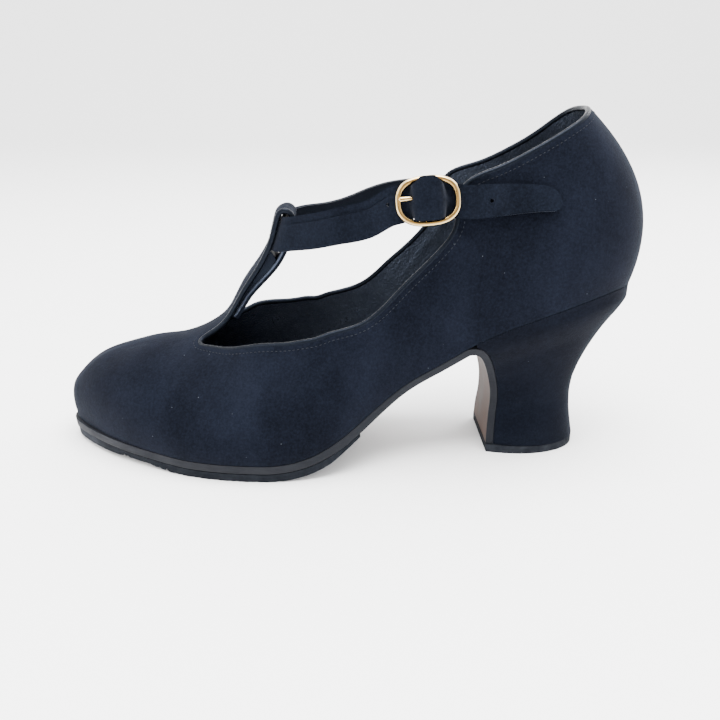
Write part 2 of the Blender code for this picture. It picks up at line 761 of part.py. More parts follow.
def heel_net(levels):
    """Both sides of the heel block, as points by side, level and share from back to front corner."""
    draw_back = steady_spline(column(HEEL_LEVELS, 0), column(HEEL_LEVELS, 1))(levels)[:, None]
    draw_side = steady_spline(column(HEEL_LEVELS, 0), column(HEEL_LEVELS, 2))(levels)[:, None]
    front_station = station_at(LAST_BACK_X - HEEL_LENGTH - BREAST_REACH + HEEL_LIP)
    stations = np.linspace(0, front_station, 15)
    foot_z = TOP_PIECE_THICK + GAP
    sides = []
    for side in (LATERAL, MEDIAL):
        seat = feather_edge(stations, side) - [0, 0, GAP]
        widest = np.abs(seat[:, 1]).max()
        along = (LAST_BACK_X - seat[:, 0]) / (LAST_BACK_X - seat[-1, 0])
        z = seat[:, 2] * (1 - levels[:, None]) + foot_z * levels[:, None]
        back = LAST_BACK_X - TOP_PIECE_SETBACK * draw_back
        x = back - (back - heel_front(z[:, -1:])) * along
        half = widest - (widest - TOP_PIECE_WIDTH / 2) * draw_side
        narrow = 1 - HEEL_FRONT_TAPER * np.minimum(levels[:, None] / 0.4, 1) * along ** 4
        y = seat[:, 1] / widest * half * narrow
        sides.append(np.stack([x, y, z], -1))
    return sides


def make_heel(parts, material):
    """The suede-covered block: seat, drawn-in waist and flared foot, with a flat front."""
    outer, inner = heel_net(np.array(column(HEEL_LEVELS, 0)))
    rows, count = outer.shape[:2]
    loops = np.concatenate([outer[:, ::-1], inner[:, 1:]], axis=1)
    wide = loops.shape[1]
    faces = grid_faces(rows, wide)
    for level in range(rows - 1):
        a, b = level * wide, (level + 1) * wide
        faces.append((a, b, b + wide - 1, a + wide - 1))
    for first in (0, (rows - 1) * wide):
        for step in range(count - 1):
            a, b = first + step, first + wide - 1 - step
            faces.append((a, a + 1, b - 1, b))
    return add_mesh("heel", loops.reshape(-1, 3), faces, material, parts)


def make_top_piece(parts, material):
    """The walking piece under the heel, which also closes the end of the sole's flap."""
    back = LAST_BACK_X - TOP_PIECE_SETBACK
    front = float(breast_line(60)[-1, 0]) - OUTSOLE_WAIST_THICK
    rails = []
    for rail in heel_net(np.array([1.0])):
        share = (back - rail[0, :, 0]) / (back - rail[0, -1, 0])
        rails.append(stacked(back - (back - front) * share, rail[0, :, 1], 0))
    top = [rail + [0, 0, TOP_PIECE_THICK] for rail in rails]
    return add_slab("top_piece", top[0], top[1], rails[0], rails[1], 1, material, parts)


def sole_layer(stations, drop, thick, inset, flap=None):
    """Rails of a layer of the sole: its upper edges a drop below the sole's face, and its lower edges.

    The flap adds rows of x, z and the half widths to each side, behind the stations.
    """
    edge = feather_edge(stations, LATERAL)
    line = np.stack([edge[:, 0], edge[:, 2] - GAP], -1)
    widths = []
    for side in (LATERAL, MEDIAL):
        margin = TOE_MARGIN * np.interp(stations, MARGIN_STATIONS, (0, 1)) - inset
        out = plan_normal(stations, side)
        widths.append(feather_edge(stations, side)[:, :2] + out * margin[:, None])
    if flap is not None:
        line = np.concatenate([line, flap[:, :2]])
        for index in (0, 1):
            widths[index] = np.concatenate([widths[index], flap[:, [0, 2 + index]]])
        thick = np.concatenate([thick, np.full(len(flap), thick[-1])])
    down = -line_normal(line)
    top, base = [], []
    for side, width in zip((LATERAL, MEDIAL), widths):
        rail = stacked(width[:, 0], width[:, 1], line[:, 1])
        deep = stacked(down[:, 0], 0, down[:, 1])
        top.append(rail + deep * drop)
        bevel = stacked(0, side * EDGE_BEVEL, np.zeros(len(rail)))
        base.append(rail + deep * (drop + thick)[:, None] - bevel)
    return top, base


def sole_stations(last):
    """Stations from the toe's tip back to the last one, closer together round the toe."""
    return np.concatenate([np.linspace(1, 0.88, 9), np.linspace(0.88, last, 33)[1:]])


def make_outsole(parts, material):
    """The leather sole from the toe to the heel, and on down the heel's front as a flap."""
    bend = breast_line(20)
    stations = sole_stations(station_at(bend[0, 0]))
    corners = [side[:, -1] for side in heel_net(np.linspace(0, 1, 40))]
    flap = [(x, z, *(np.interp(z, corner[::-1, 2], corner[::-1, 1]) for corner in corners))
            for x, z in bend[1:]]
    thick = np.interp(stations, WAIST_STATIONS, (OUTSOLE_WAIST_THICK, OUTSOLE_THICK))
    top, base = sole_layer(stations, 0, thick, 0, np.array(flap))
    return add_slab("outsole", top[0], top[1], base[0], base[1], 2, material, parts)


def make_half_sole(parts, material):
    """The rubber under the forefoot, with a shallow trough behind the toe."""
    stations = sole_stations(HALF_SOLE[0][0])
    share = steady_spline(column(HALF_SOLE, 0), column(HALF_SOLE, 1))(stations)
    top, base = sole_layer(stations, GAP + OUTSOLE_THICK, HALF_SOLE_THICK * share, EDGE_BEVEL)
    return add_slab("half_sole", top[0], top[1], base[0], base[1], 2, material, parts)


def quarter_point(station, height, side, depth):
    """A point off the quarter's face, and the direction up the face."""
    reach = 0.01
    point = last_surface(station, height, side) + surface_normal(station, height, side) * depth
    up = unit(last_surface(station, height + reach, side) - last_surface(station, height - reach, side))
    return point, up


def ring_axes():
    """The buckle's middle and its directions along the strap, up and out of the shoe."""
    wing, up = quarter_point(*BUCKLE_WING, LATERAL, 0)
    along = np.array([math.cos(RING_TILT), 0, math.sin(RING_TILT)])
    out = unit(np.cross(along, up))
    up = np.cross(out, along)
    stack = 3 * GAP + TAB_THICK + STRAP_THICK + RING_WIRE_RADIUS
    ahead = RING_LENGTH / 2 + BUCKLE_AHEAD
    return wing + out * stack - along * ahead + up * BUCKLE_LIFT, along, up, out


def ring_depths():
    """Depths of the strap's middle where it runs under the ring and over its bar."""
    return (-(RING_WIRE_RADIUS + GAP + STRAP_THICK / 2),
            BAR_WIRE_RADIUS + TAB_THICK + 2 * GAP + STRAP_THICK / 2)


def free_run(rows, start, end, side):
    """Points that swing out from the straight way between two places."""
    way = end - start
    length = np.linalg.norm(way)
    return [start + way * share + length * np.array([0, side * swing, rise]) for share, swing, rise in rows]


def strap_rows():
    """The strap's middle line, its up direction, half width and edge bend, from inner end to tip."""
    on_quarter = 1.5 * GAP + STRAP_THICK / 2
    wide = STRAP_WIDTH / 2
    rows = [(*quarter_point(station, height, MEDIAL, on_quarter), wide, 0)
            for station, height in STRAP_ANCHOR]
    edge = float(bar_height(STRAP_BAR_STATION))
    rise = unit((profile_top(T_BAR[-1][0], MEDIAL) - profile_top(STRAP_FOOT_STATION, MEDIAL)) * [1, 0, 1])
    behind = np.array([rise[2], 0, -rise[0]]) * FOLD_DEPTH / 2
    loop = [last_surface(STRAP_BAR_STATION, height, side) + behind
            for side, height in ((MEDIAL, edge), (MEDIAL, 1.0), (LATERAL, edge))]
    loop = [place + rise * (loop[1][2] - place[2]) / rise[2] for place in loop]
    middle, along, up, out = ring_axes()
    low, high = ring_depths()
    ring = []
    for ahead, share, lift, width, bend in STRAP_IN_RING:
        place = middle + along * ahead * RING_LENGTH / 2 + out * (low + (high - low) * share)
        ring.append((place + up * lift * STRAP_WIDTH, up, width * STRAP_WIDTH, bend * STRAP_THICK))
    rows += [(place, None, wide, 0) for place in free_run(STRAP_INNER_RUN, loop[1], rows[-1][0], MEDIAL)]
    rows += [(place, rise, wide, 0) for place in loop]
    rows += [(place, None, wide, 0) for place in free_run(STRAP_OUTER_RUN, loop[1], ring[0][0], LATERAL)]
    rows += ring
    for station, height, width, tab_below in STRAP_TAIL:
        depth = on_quarter + (GAP + TAB_THICK) * tab_below
        rows.append((*quarter_point(station, height, LATERAL, depth), width * STRAP_WIDTH, 0))
    return rows


def strap_net():
    """Rows of three points along the strap."""
    rows = strap_rows()
    middles = np.array([row[0] for row in rows])
    length = run_length(middles)
    known = [index for index, row in enumerate(rows) if row[1] is not None]
    ups = np.stack([np.interp(length, length[known], [rows[index][1][axis] for index in known])
                    for axis in range(3)], -1)
    tip = length[-1] - STRAP_END_RADIUS * np.array([0.45, 0.2, 0.0])
    tail_start = len(rows) - len(STRAP_TAIL)
    marks = [0, length[tail_start - len(STRAP_IN_RING)], length[tail_start], length[-1] - STRAP_END_RADIUS]
    steps = [np.linspace(*ends, count, endpoint=False) for *ends, count in zip(marks, marks[1:], STRAP_ROWS)]
    steps = np.concatenate([*steps, [marks[-1]], tip])
    table = np.column_stack([middles, ups])
    middle, up = (np.stack([natural_spline(length, table[:, axis])(steps) for axis in axes], -1)
                  for axes in ((0, 1, 2), (3, 4, 5)))
    up = unit(up)
    width, bend = (steady_spline(length, [row[index] for row in rows])(steps) for index in (2, 3))
    round_end = np.clip((length[-1] - steps) / STRAP_END_RADIUS, 0, 1)
    width = width * np.sqrt(np.maximum(1 - (1 - round_end) ** 2, 0.1))
    out = unit(np.cross(np.gradient(middle, axis=0), up))
    up, width, bend = up[:, None], width[:, None, None], bend[:, None, None]
    across = np.array([-1.0, 0.0, 1.0])[None, :, None]
    return middle[:, None] + up * width * across - out[:, None] * bend * np.abs(across)


def make_instep_strap(parts, guides, material):
    """The strap from the inner quarter, through the T-bar's fold and the buckle, to its free tip."""
    net = strap_net()
    strap = add_mesh("instep_strap", net.reshape(-1, 3), grid_faces(len(net), 3), material, parts,
                     closed=False)
    body = strap.modifiers.new("Thickness", "SOLIDIFY")
    body.thickness = STRAP_THICK
    body.offset = 0
    hole = tube_to_mesh(add_tube("prong_hole", prong_line(), PRONG_RADIUS + GAP, material, guides))
    boolean(strap, hole, "DIFFERENCE")
    return strap


def make_buckle_frame(parts, guides, material):
    """The oval wire frame with its middle bar."""
    middle, along, up, out = ring_axes()
    half_long = RING_LENGTH / 2 - RING_WIRE_RADIUS
    half_high = RING_HEIGHT / 2 - RING_WIRE_RADIUS
    line = []
    for angle in np.linspace(0, 2 * math.pi, 40, endpoint=False):
        c, s = math.cos(angle), math.sin(angle)
        ahead = half_long * math.copysign(abs(c) ** (2 / RING_SQUARENESS), c)
        lift = half_high * math.copysign(abs(s) ** (2 / RING_SQUARENESS), s)
        line.append(middle + along * ahead + up * lift)
    ring = tube_to_mesh(add_tube("buckle_frame", line, RING_WIRE_RADIUS, material, parts, cyclic=True))
    ends = [middle - up * half_high, middle + up * half_high]
    bar = tube_to_mesh(add_tube("middle_bar", ends, BAR_WIRE_RADIUS, material, guides))
    boolean(ring, bar, "UNION")
    return ring


def prong_line():
    """The prong's middle line, from the middle bar to its tip on the ring's toe side."""
    middle, along, up, out = ring_axes()
    root = BAR_WIRE_RADIUS + GAP
    tip = RING_LENGTH / 2 - RING_WIRE_RADIUS
    rest = RING_WIRE_RADIUS + GAP + PRONG_RADIUS
    return [middle + up * PRONG_LIFT - along * (root + (tip - root) * share) + out * rest * rise
            for share, rise in PRONG]


def make_buckle_prong(parts, material):
    return add_tube("buckle_prong", prong_line(), PRONG_RADIUS, material, parts)


def make_buckle_tab(parts, guides, material):
    """The leather tab on the quarter that holds the buckle's middle bar in its fold."""
    middle, along, up, out = ring_axes()
    half = RING_LENGTH / 2
    line = [(middle + along * half * ahead - out * half * depth, up) for ahead, depth in TAB_HIDDEN_LEG]
    wrap = BAR_WIRE_RADIUS + GAP + TAB_THICK / 2
    for angle in np.radians([240, 210, 180, 150, 120, 90]):
        line.append((middle + along * wrap * math.cos(angle) + out * wrap * math.sin(angle), up))
    low, high = ring_depths()
    rows = [row for row in STRAP_IN_RING if row[0] >= 0]
    path = np.array([(ahead * half, low + (high - low) * share) for ahead, share, *_ in rows])
    way = unit(np.gradient(path, axis=0))
    for (x, depth), (along_x, along_depth), row in list(zip(path, way, rows))[1:]:
        at_tab_edge = row[4] * STRAP_THICK * TAB_WIDTH / (2 * row[3] * STRAP_WIDTH)
        room = 2 * GAP if row[4] > 0 else GAP
        below = STRAP_THICK / 2 + room + TAB_THICK / 2 + at_tab_edge
        line.append((middle + along * (x + along_depth * below) + out * (depth - along_x * below), up))
    for station, height in TAB_ON_QUARTER:
        line.append(quarter_point(station, height, LATERAL, GAP + TAB_THICK / 2))
    points = [place + lean * TAB_WIDTH / 2 * share for place, lean in line for share in (-1, 1)]
    tab = add_mesh("buckle_tab", points, grid_faces(len(line), 2), material, parts, closed=False)
    body = tab.modifiers.new("Thickness", "SOLIDIFY")
    body.thickness = TAB_THICK
    body.offset = 0
    body.use_even_offset = True
    slot_radius = PRONG_RADIUS + 3 * GAP
    slot_middle = middle + up * PRONG_LIFT
    slot_ends = [slot_middle - along * 2 * wrap, slot_middle + along * wrap]
    slot = tube_to_mesh(add_tube("tab_slot", slot_ends, slot_radius, material, guides))
    boolean(tab, slot, "DIFFERENCE")
    return tab


def stand_on_floor(parts, holder):
    """Puts the shoe's box on the floor with its middle over the origin."""
    bpy.context.view_layer.update()
    graph = bpy.context.evaluated_depsgraph_get()
    low, high = np.full(3, np.inf), np.full(3, -np.inf)
    for thing in parts.objects:
        if thing.type == "EMPTY":
            continue
        evaluated = thing.evaluated_get(graph)
        mesh = evaluated.to_mesh()
        places = np.array([thing.matrix_world @ vertex.co for vertex in mesh.vertices])
        low, high = np.minimum(low, places.min(axis=0)), np.maximum(high, places.max(axis=0))
        evaluated.to_mesh_clear()
    holder.location = (-(low[0] + high[0]) / 2, -(low[1] + high[1]) / 2, -low[2])


def main():
    for thing in list(bpy.data.objects):
        bpy.data.objects.remove(thing, do_unlink=True)
    parts, guides = new_collection("heeled_t_strap_shoe"), new_collection("cutters")
    suede = plain_material("black_suede", (0.012, 0.013, 0.017), 0.95)
    lining = plain_material("black_leather", (0.030, 0.031, 0.034), 0.5)
    sole = plain_material("black_sole_leather", (0.045, 0.045, 0.050), 0.6)
    rubber = plain_material("black_rubber", (0.030, 0.030, 0.034), 0.8)
    brass = plain_material("gold_metal", (0.80, 0.62, 0.30), 0.25, metallic=1.0)
    make_upper(parts, suede)
    make_topline_piping(parts, lining)
    make_insole(parts, lining)
    make_outsole(parts, sole)
    make_half_sole(parts, rubber)
    make_heel(parts, suede)
    make_top_piece(parts, rubber)
    make_instep_strap(parts, guides, suede)
    make_buckle_frame(parts, guides, brass)
    make_buckle_prong(parts, brass)
    make_buckle_tab(parts, guides, lining)
    holder = bpy.data.objects.new("shoe_origin", None)
    parts.objects.link(holder)
    stand_on_floor(parts, holder)
    for thing in list(parts.objects) + list(guides.objects):
        if thing is not holder:
            thing.parent = holder
    bpy.context.view_layer.update()


main()
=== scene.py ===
"""A woman's black suede T-strap dance shoe with a curved heel, finished piece by piece for its picture.

Units are metres. +X runs from toe to heel, -Y is the outer side and +Z is up. The sections follow the
shoe as it is made: upper, lining, binding, sock, soles, heel, top piece, strap and buckle.
"""

import math

import bmesh
import bpy
import numpy as np
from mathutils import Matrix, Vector


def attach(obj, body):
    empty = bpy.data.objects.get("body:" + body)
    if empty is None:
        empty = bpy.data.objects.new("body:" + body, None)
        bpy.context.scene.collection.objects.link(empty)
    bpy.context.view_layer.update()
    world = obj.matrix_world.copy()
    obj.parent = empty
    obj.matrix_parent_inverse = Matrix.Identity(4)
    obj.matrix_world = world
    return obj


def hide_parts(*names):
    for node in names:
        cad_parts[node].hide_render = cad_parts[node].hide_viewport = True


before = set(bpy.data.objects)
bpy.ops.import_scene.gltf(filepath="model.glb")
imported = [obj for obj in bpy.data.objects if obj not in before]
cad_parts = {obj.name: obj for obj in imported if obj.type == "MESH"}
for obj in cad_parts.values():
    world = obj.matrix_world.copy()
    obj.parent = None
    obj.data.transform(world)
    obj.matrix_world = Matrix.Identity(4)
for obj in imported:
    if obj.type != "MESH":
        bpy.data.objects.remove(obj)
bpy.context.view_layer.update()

# ---- Suede upper: vamp, quarters and T-bar in one, black kid suede about 1.2 mm thick, pulled over the
# ---- last and cemented under its feather edge. It is drawn on the last: a station is 0 at the middle of
# ---- the back and 1 at the tip of the toe, and a height is 0 on the feather edge and 1 at the ridge.
# The last's sizes, the wall and bead of the upper, the gap between pieces, and the thicknesses and
# widths that more than one piece needs.
LAST_LENGTH = 0.2269
LAST_BACK_X = 0.1105
BALL_WIDTH = 0.0835
HEEL_RISE = 0.0613
UPPER_HEIGHT = 0.0682
UPPER_WALL = 0.0020
BEAD_RADIUS = 0.0011
GAP = 0.0003
BAR_WIDTH = 0.0150
OUTSOLE_THICK = 0.0034
HALF_SOLE_THICK = 0.0034
STRAP_THICK = 0.0020
SUEDE_THICK = 0.0012
SHOE_PLACE = (0.00209, 0.00194, 0.0)

# The last's bottom. Columns: station, outer and inner half widths as shares of BALL_WIDTH, and height
# as a share of HEEL_RISE. Heights below zero lie on the flat tread.
LAST_BOTTOM = [
    (0.000, 0.000, 0.000, 1.000),
    (0.060, 0.122, 0.122, 1.000),
    (0.120, 0.222, 0.222, 1.000),
    (0.200, 0.315, 0.315, 0.955),
    (0.280, 0.356, 0.353, 0.853),
    (0.360, 0.338, 0.330, 0.672),
    (0.395, 0.326, 0.307, 0.552),
    (0.430, 0.338, 0.300, 0.441),
    (0.465, 0.386, 0.312, 0.300),
    (0.500, 0.455, 0.342, 0.150),
    (0.535, 0.503, 0.383, 0.045),
    (0.570, 0.524, 0.425, 0.004),
    (0.610, 0.518, 0.458, -0.004),
    (0.660, 0.480, 0.478, -0.003),
    (0.720, 0.392, 0.468, 0.010),
    (0.800, 0.243, 0.408, 0.022),
    (0.880, 0.087, 0.318, 0.026),
    (0.940, 0.000, 0.215, 0.025),
    (1.000, -0.084, 0.084, 0.024),
]

# The profiles. Columns: station; the profile's top, as its place along LAST_LENGTH from the back, its
# half gap and centre as shares of BALL_WIDTH, and its height above the feather edge as a share of
# UPPER_HEIGHT; then the two handles that curve the profile, out and up from the feather edge, and out
# and down from the top, as shares of UPPER_HEIGHT.
PROFILES = [
    (0.000, 0.108, 0.000, 0.000, 1.000, 0.129, 0.411, 0.338, 0.293),
    (0.060, 0.111, 0.072, 0.000, 1.000, 0.129, 0.411, 0.311, 0.293),
    (0.120, 0.122, 0.144, 0.000, 1.000, 0.122, 0.396, 0.235, 0.315),
    (0.200, 0.154, 0.216, 0.000, 0.996, 0.095, 0.381, 0.132, 0.345),
    (0.280, 0.214, 0.257, 0.000, 0.956, 0.066, 0.367, 0.059, 0.352),
    (0.360, 0.311, 0.287, 0.000, 0.970, 0.059, 0.367, 0.044, 0.352),
    (0.430, 0.434, 0.240, 0.000, 1.123, 0.066, 0.367, 0.073, 0.352),
    (0.465, 0.513, 0.156, 0.000, 1.204, 0.081, 0.367, 0.132, 0.293),
    (0.500, 0.604, 0.000, 0.000, 1.236, 0.088, 0.352, 0.230, 0.020),
    (0.518, 0.623, 0.000, 0.002, 1.117, 0.088, 0.337, 0.240, 0.005),
    (0.535, 0.632, 0.000, 0.004, 1.067, 0.088, 0.323, 0.250, 0.000),
    (0.553, 0.651, 0.000, 0.006, 0.992, 0.084, 0.308, 0.257, 0.000),
    (0.570, 0.673, 0.000, 0.010, 0.903, 0.081, 0.293, 0.279, 0.000),
    (0.605, 0.706, 0.000, 0.018, 0.718, 0.073, 0.279, 0.308, 0.000),
    (0.640, 0.751, 0.000, 0.028, 0.604, 0.066, 0.264, 0.323, 0.000),
    (0.720, 0.834, 0.000, 0.042, 0.520, 0.059, 0.264, 0.323, 0.000),
    (0.800, 0.897, 0.000, 0.057, 0.466, 0.056, 0.249, 0.264, 0.000),
    (0.880, 0.923, 0.000, 0.066, 0.443, 0.060, 0.234, 0.204, 0.000),
    (1.000, 0.932, 0.000, 0.069, 0.433, 0.058, 0.236, 0.182, 0.000),
]

# The opening's edge, from the middle of the back to the foot of the T-bar. Columns: station, height
# as a share of the profile on the outer and on the inner side, and where its rib ends: 0 to 1 is a
# station on the feather edge, 1 to 2 rises up the middle of the toe, and from 2 on it runs back
# along the ridge.
OPENING = [
    (0.000, 0.955, 0.955, 0.000),
    (0.060, 0.950, 0.950, 0.050),
    (0.130, 0.915, 0.915, 0.120),
    (0.200, 0.895, 0.868, 0.180),
    (0.270, 0.905, 0.864, 0.240),
    (0.320, 0.920, 0.880, 0.284),
    (0.350, 0.918, 0.890, 0.312),
    (0.360, 0.885, 0.868, 0.326),
    (0.364, 0.800, 0.794, 0.341),
    (0.368, 0.700, 0.700, 0.358),
    (0.386, 0.600, 0.600, 0.384),
    (0.410, 0.518, 0.515, 0.414),
    (0.436, 0.450, 0.455, 0.446),
    (0.465, 0.396, 0.402, 0.480),
    (0.495, 0.376, 0.386, 0.512),
    (0.530, 0.431, 0.443, 0.555),
    (0.565, 0.527, 0.540, 0.602),
    (0.590, 0.606, 0.628, 0.655),
    (0.612, 0.685, 0.712, 0.730),
    (0.628, 0.750, 0.762, 0.820),
    (0.637, 0.800, 0.802, 0.930),
    (0.637, 0.835, 0.835, 1.350),
    (0.630, 0.858, 0.858, 1.850),
    (0.616, 0.868, 0.868, 2.200),
]

# The T-bar's edge goes on from there. Columns: station, and where its rib ends on the ridge.
T_BAR = [
    (0.598, 2.300),
    (0.578, 2.375),
    (0.555, 2.430),
    (0.532, 2.465),
    (0.508, 2.492),
]

# How flat the T-bar is across near its fold, and the heights and stations over which that comes in.
BAR_FLATNESS = 0.80
FLAT_FROM_HEIGHT = (0.66, 0.80)
FLAT_FROM_STATION = (0.585, 0.528)
BAR_BEHIND = 0.45

# The stations over which the profiles' upper handles come to follow the ridge's slope.
RIDGE_STATIONS = (0.43, 0.55)

# The T-bar folds over the strap and comes back behind itself. Columns: station, depth of its far face
# behind the T-bar's front, as a share of the depth at the fold.
T_BAR_RETURN = [
    (0.508, 1.00),
    (0.524, 1.10),
    (0.540, 1.05),
    (0.560, 0.82),
    (0.580, 0.64),
    (0.600, 0.60),
]

# The net on the upper's face: its ribs from the back to the toe and on to the fold, how much their
# spacing follows their lower ends, its rows and how they crowd at the edge, and the rows of the fold.
HEEL_COLUMNS = 169
TOE_COLUMNS = 88
EDGE_SAMPLES = 3000
LOWER_END_WEIGHT = 1.4
UPPER_ROWS = 44
ROW_CLOSENESS = 1.4
FOLD_ROWS = 25
RETURN_ROWS = 31
BAR_ROW_SLANT = 0.004

# The suede's edge tucks into the binding. Its net is evened out round the toe's tip, less and less
# between two distances.
TUCKED_EDGE = 0.0005
TOE_EASED = (0.006, 0.022)
TOE_ROUNDS = 90

LATERAL, MEDIAL = -1, 1


def natural_spline(xs, ys, flat_start=False, flat_end=False):
    """A cubic spline through the rows of a table, with zero slope at an end that is flat."""
    xs, ys = np.asarray(xs, float), np.asarray(ys, float)
    count, step = len(xs), np.diff(xs)
    matrix, right = np.zeros((count, count)), np.zeros(count)
    for i in range(1, count - 1):
        matrix[i, i - 1:i + 2] = step[i - 1], 2 * (step[i - 1] + step[i]), step[i]
        right[i] = 6 * ((ys[i + 1] - ys[i]) / step[i] - (ys[i] - ys[i - 1]) / step[i - 1])
    matrix[0, 0] = matrix[-1, -1] = 1
    if flat_start:
        matrix[0, :2] = 2 * step[0], step[0]
        right[0] = 6 * (ys[1] - ys[0]) / step[0]
    if flat_end:
        matrix[-1, -2:] = step[-1], 2 * step[-1]
        right[-1] = -6 * (ys[-1] - ys[-2]) / step[-1]
    bend = np.linalg.solve(matrix, right)

    def value(x):
        x = np.asarray(x, float)
        i = np.clip(np.searchsorted(xs, x, side="right") - 1, 0, count - 2)
        t, h = x - xs[i], step[i]
        slope = (ys[i + 1] - ys[i]) / h - h * (2 * bend[i] + bend[i + 1]) / 6
        return ys[i] + t * slope + t ** 2 * bend[i] / 2 + t ** 3 * (bend[i + 1] - bend[i]) / (6 * h)

    return value


def steady_spline(xs, ys):
    """A cubic spline that never passes beyond the values of the rows beside it."""
    xs, ys = np.asarray(xs, float), np.asarray(ys, float)
    step = np.diff(xs)
    rate = np.diff(ys) / step
    slope = np.concatenate([[rate[0]], np.zeros(len(xs) - 2), [rate[-1]]])
    for i in range(1, len(xs) - 1):
        if rate[i - 1] * rate[i] > 0:
            slope[i] = 2 * rate[i - 1] * rate[i] / (rate[i - 1] + rate[i])

    def value(x):
        x = np.asarray(x, float)
        i = np.clip(np.searchsorted(xs, x, side="right") - 1, 0, len(xs) - 2)
        h = step[i]
        t = (x - xs[i]) / h
        return ((1 + 2 * t) * (1 - t) ** 2 * ys[i] + t * (1 - t) ** 2 * h * slope[i]
                + t * t * (3 - 2 * t) * ys[i + 1] + t * t * (t - 1) * h * slope[i + 1])

    return value


def column(table, index):
    return [row[index] for row in table]


def unit(vectors):
    return vectors / np.linalg.norm(vectors, axis=-1, keepdims=True)


def run_length(points):
    """Distance along a line of points, from its start."""
    return np.concatenate([[0], np.cumsum(np.linalg.norm(np.diff(points, axis=0), axis=1))])


def stacked(x, y, z):
    return np.stack(np.broadcast_arrays(np.asarray(x, float), y, z), -1)


BALL_HEIGHT = HALF_SOLE_THICK + OUTSOLE_THICK + 2 * GAP
outer_width = natural_spline(column(LAST_BOTTOM, 0), column(LAST_BOTTOM, 1))
inner_width = natural_spline(column(LAST_BOTTOM, 0), column(LAST_BOTTOM, 2))
bottom_rise = natural_spline(column(LAST_BOTTOM, 0), column(LAST_BOTTOM, 3), True, True)
top_along = natural_spline(column(PROFILES, 0), column(PROFILES, 1), True, True)
top_half_gap = steady_spline(column(PROFILES, 0), column(PROFILES, 2))
(top_centre, top_height, low_out, low_up, high_out, high_down) = (
    natural_spline(column(PROFILES, 0), column(PROFILES, index), True, True) for index in range(3, 9))


def soft_step(value, low, high):
    share = np.clip((value - low) / (high - low), 0, 1)
    return share * share * (3 - 2 * share)


def feather_edge(station, side):
    """The line where the upper meets the sole."""
    station = np.asarray(station, float)
    x = LAST_BACK_X - LAST_LENGTH * (1 - np.cos(np.pi * station)) / 2
    half = inner_width(station) if side == MEDIAL else outer_width(station)
    z = BALL_HEIGHT + HEEL_RISE * np.maximum(bottom_rise(station), 0)
    return stacked(x, side * half * BALL_WIDTH, z)


def plan_normal(station, side):
    """The level direction that points out of the shoe at the feather edge."""
    reach = 0.001
    ahead = feather_edge(np.clip(station + reach, 0, 1), side)
    behind = feather_edge(np.clip(station - reach, 0, 1), side)
    run = ahead - behind
    out = unit(side * np.stack([run[..., 1], -run[..., 0]], -1))
    out = np.where((station < 1e-6)[..., None], [1.0, 0.0], out)
    return np.where((station > 1 - 1e-6)[..., None], [-1.0, 0.0], out)


def profile_top(station, side):
    x = LAST_BACK_X - LAST_LENGTH * top_along(station)
    y = BALL_WIDTH * (top_centre(station) + side * top_half_gap(station))
    z = feather_edge(station, side)[..., 2] + UPPER_HEIGHT * top_height(station)
    return stacked(x, y, z)


def last_surface(station, height, side):
    """The upper's outer face, where height is 0 on the feather edge and 1 at the profile's top."""
    station, height = np.broadcast_arrays(np.asarray(station, float), np.asarray(height, float))
    foot, out, top = feather_edge(station, side), plan_normal(station, side), profile_top(station, side)
    ridge_reach = 0.02
    ahead = profile_top(np.clip(station + ridge_reach, 0, 1), side)
    behind = profile_top(np.clip(station - ridge_reach, 0, 1), side)
    ridge_run = np.minimum(ahead[..., 0] - behind[..., 0], -1e-6)
    ridge_slope = soft_step(station, *RIDGE_STATIONS) * (ahead[..., 2] - behind[..., 2]) / ridge_run
    low = UPPER_HEIGHT * low_out(station)
    high = UPPER_HEIGHT * high_out(station)
    foot_handle = foot + stacked(out[..., 0] * low, out[..., 1] * low, UPPER_HEIGHT * low_up(station))
    fall = UPPER_HEIGHT * high_down(station) - out[..., 0] * high * ridge_slope
    top_handle = top + stacked(out[..., 0] * high, out[..., 1] * high, -fall)
    h = height[..., None]
    face = (foot * (1 - h) ** 3 + 3 * foot_handle * h * (1 - h) ** 2
            + 3 * top_handle * h * h * (1 - h) + top * h ** 3)
    flat = (BAR_FLATNESS * soft_step(height, *FLAT_FROM_HEIGHT) * soft_step(station, *FLAT_FROM_STATION)
            * (station > BAR_BEHIND))
    return face + (top - face) * flat[..., None] * [1, 0, 1]


def surface_normal(station, height, side):
    """The direction out of the upper's face."""
    reach = 0.002
    station, height = np.broadcast_arrays(np.asarray(station, float), np.asarray(height, float))
    low, high = np.clip(height - reach, 0, 1), np.clip(height + reach, 0, 1)
    back, front = np.clip(station - reach, 0, 1), np.clip(station + reach, 0, 1)
    up = last_surface(station, high, side) - last_surface(station, low, side)
    along = last_surface(front, height, side) - last_surface(back, height, side)
    return -side * unit(np.cross(up, along))


def bar_height(station):
    """Where the T-bar's edge lies on the profile, from its width."""
    return 1 - BAR_WIDTH / (6 * UPPER_HEIGHT * high_out(station))


def rib_end(reach):
    """The station and height where a rib ends, on the feather edge, the toe or the ridge."""
    reach = np.asarray(reach, float)
    station = np.where(reach < 1, reach, np.where(reach < 2, 1, 3 - reach))
    height = np.where(reach < 1, 0, np.where(reach < 2, reach - 1, 1))
    return station, height


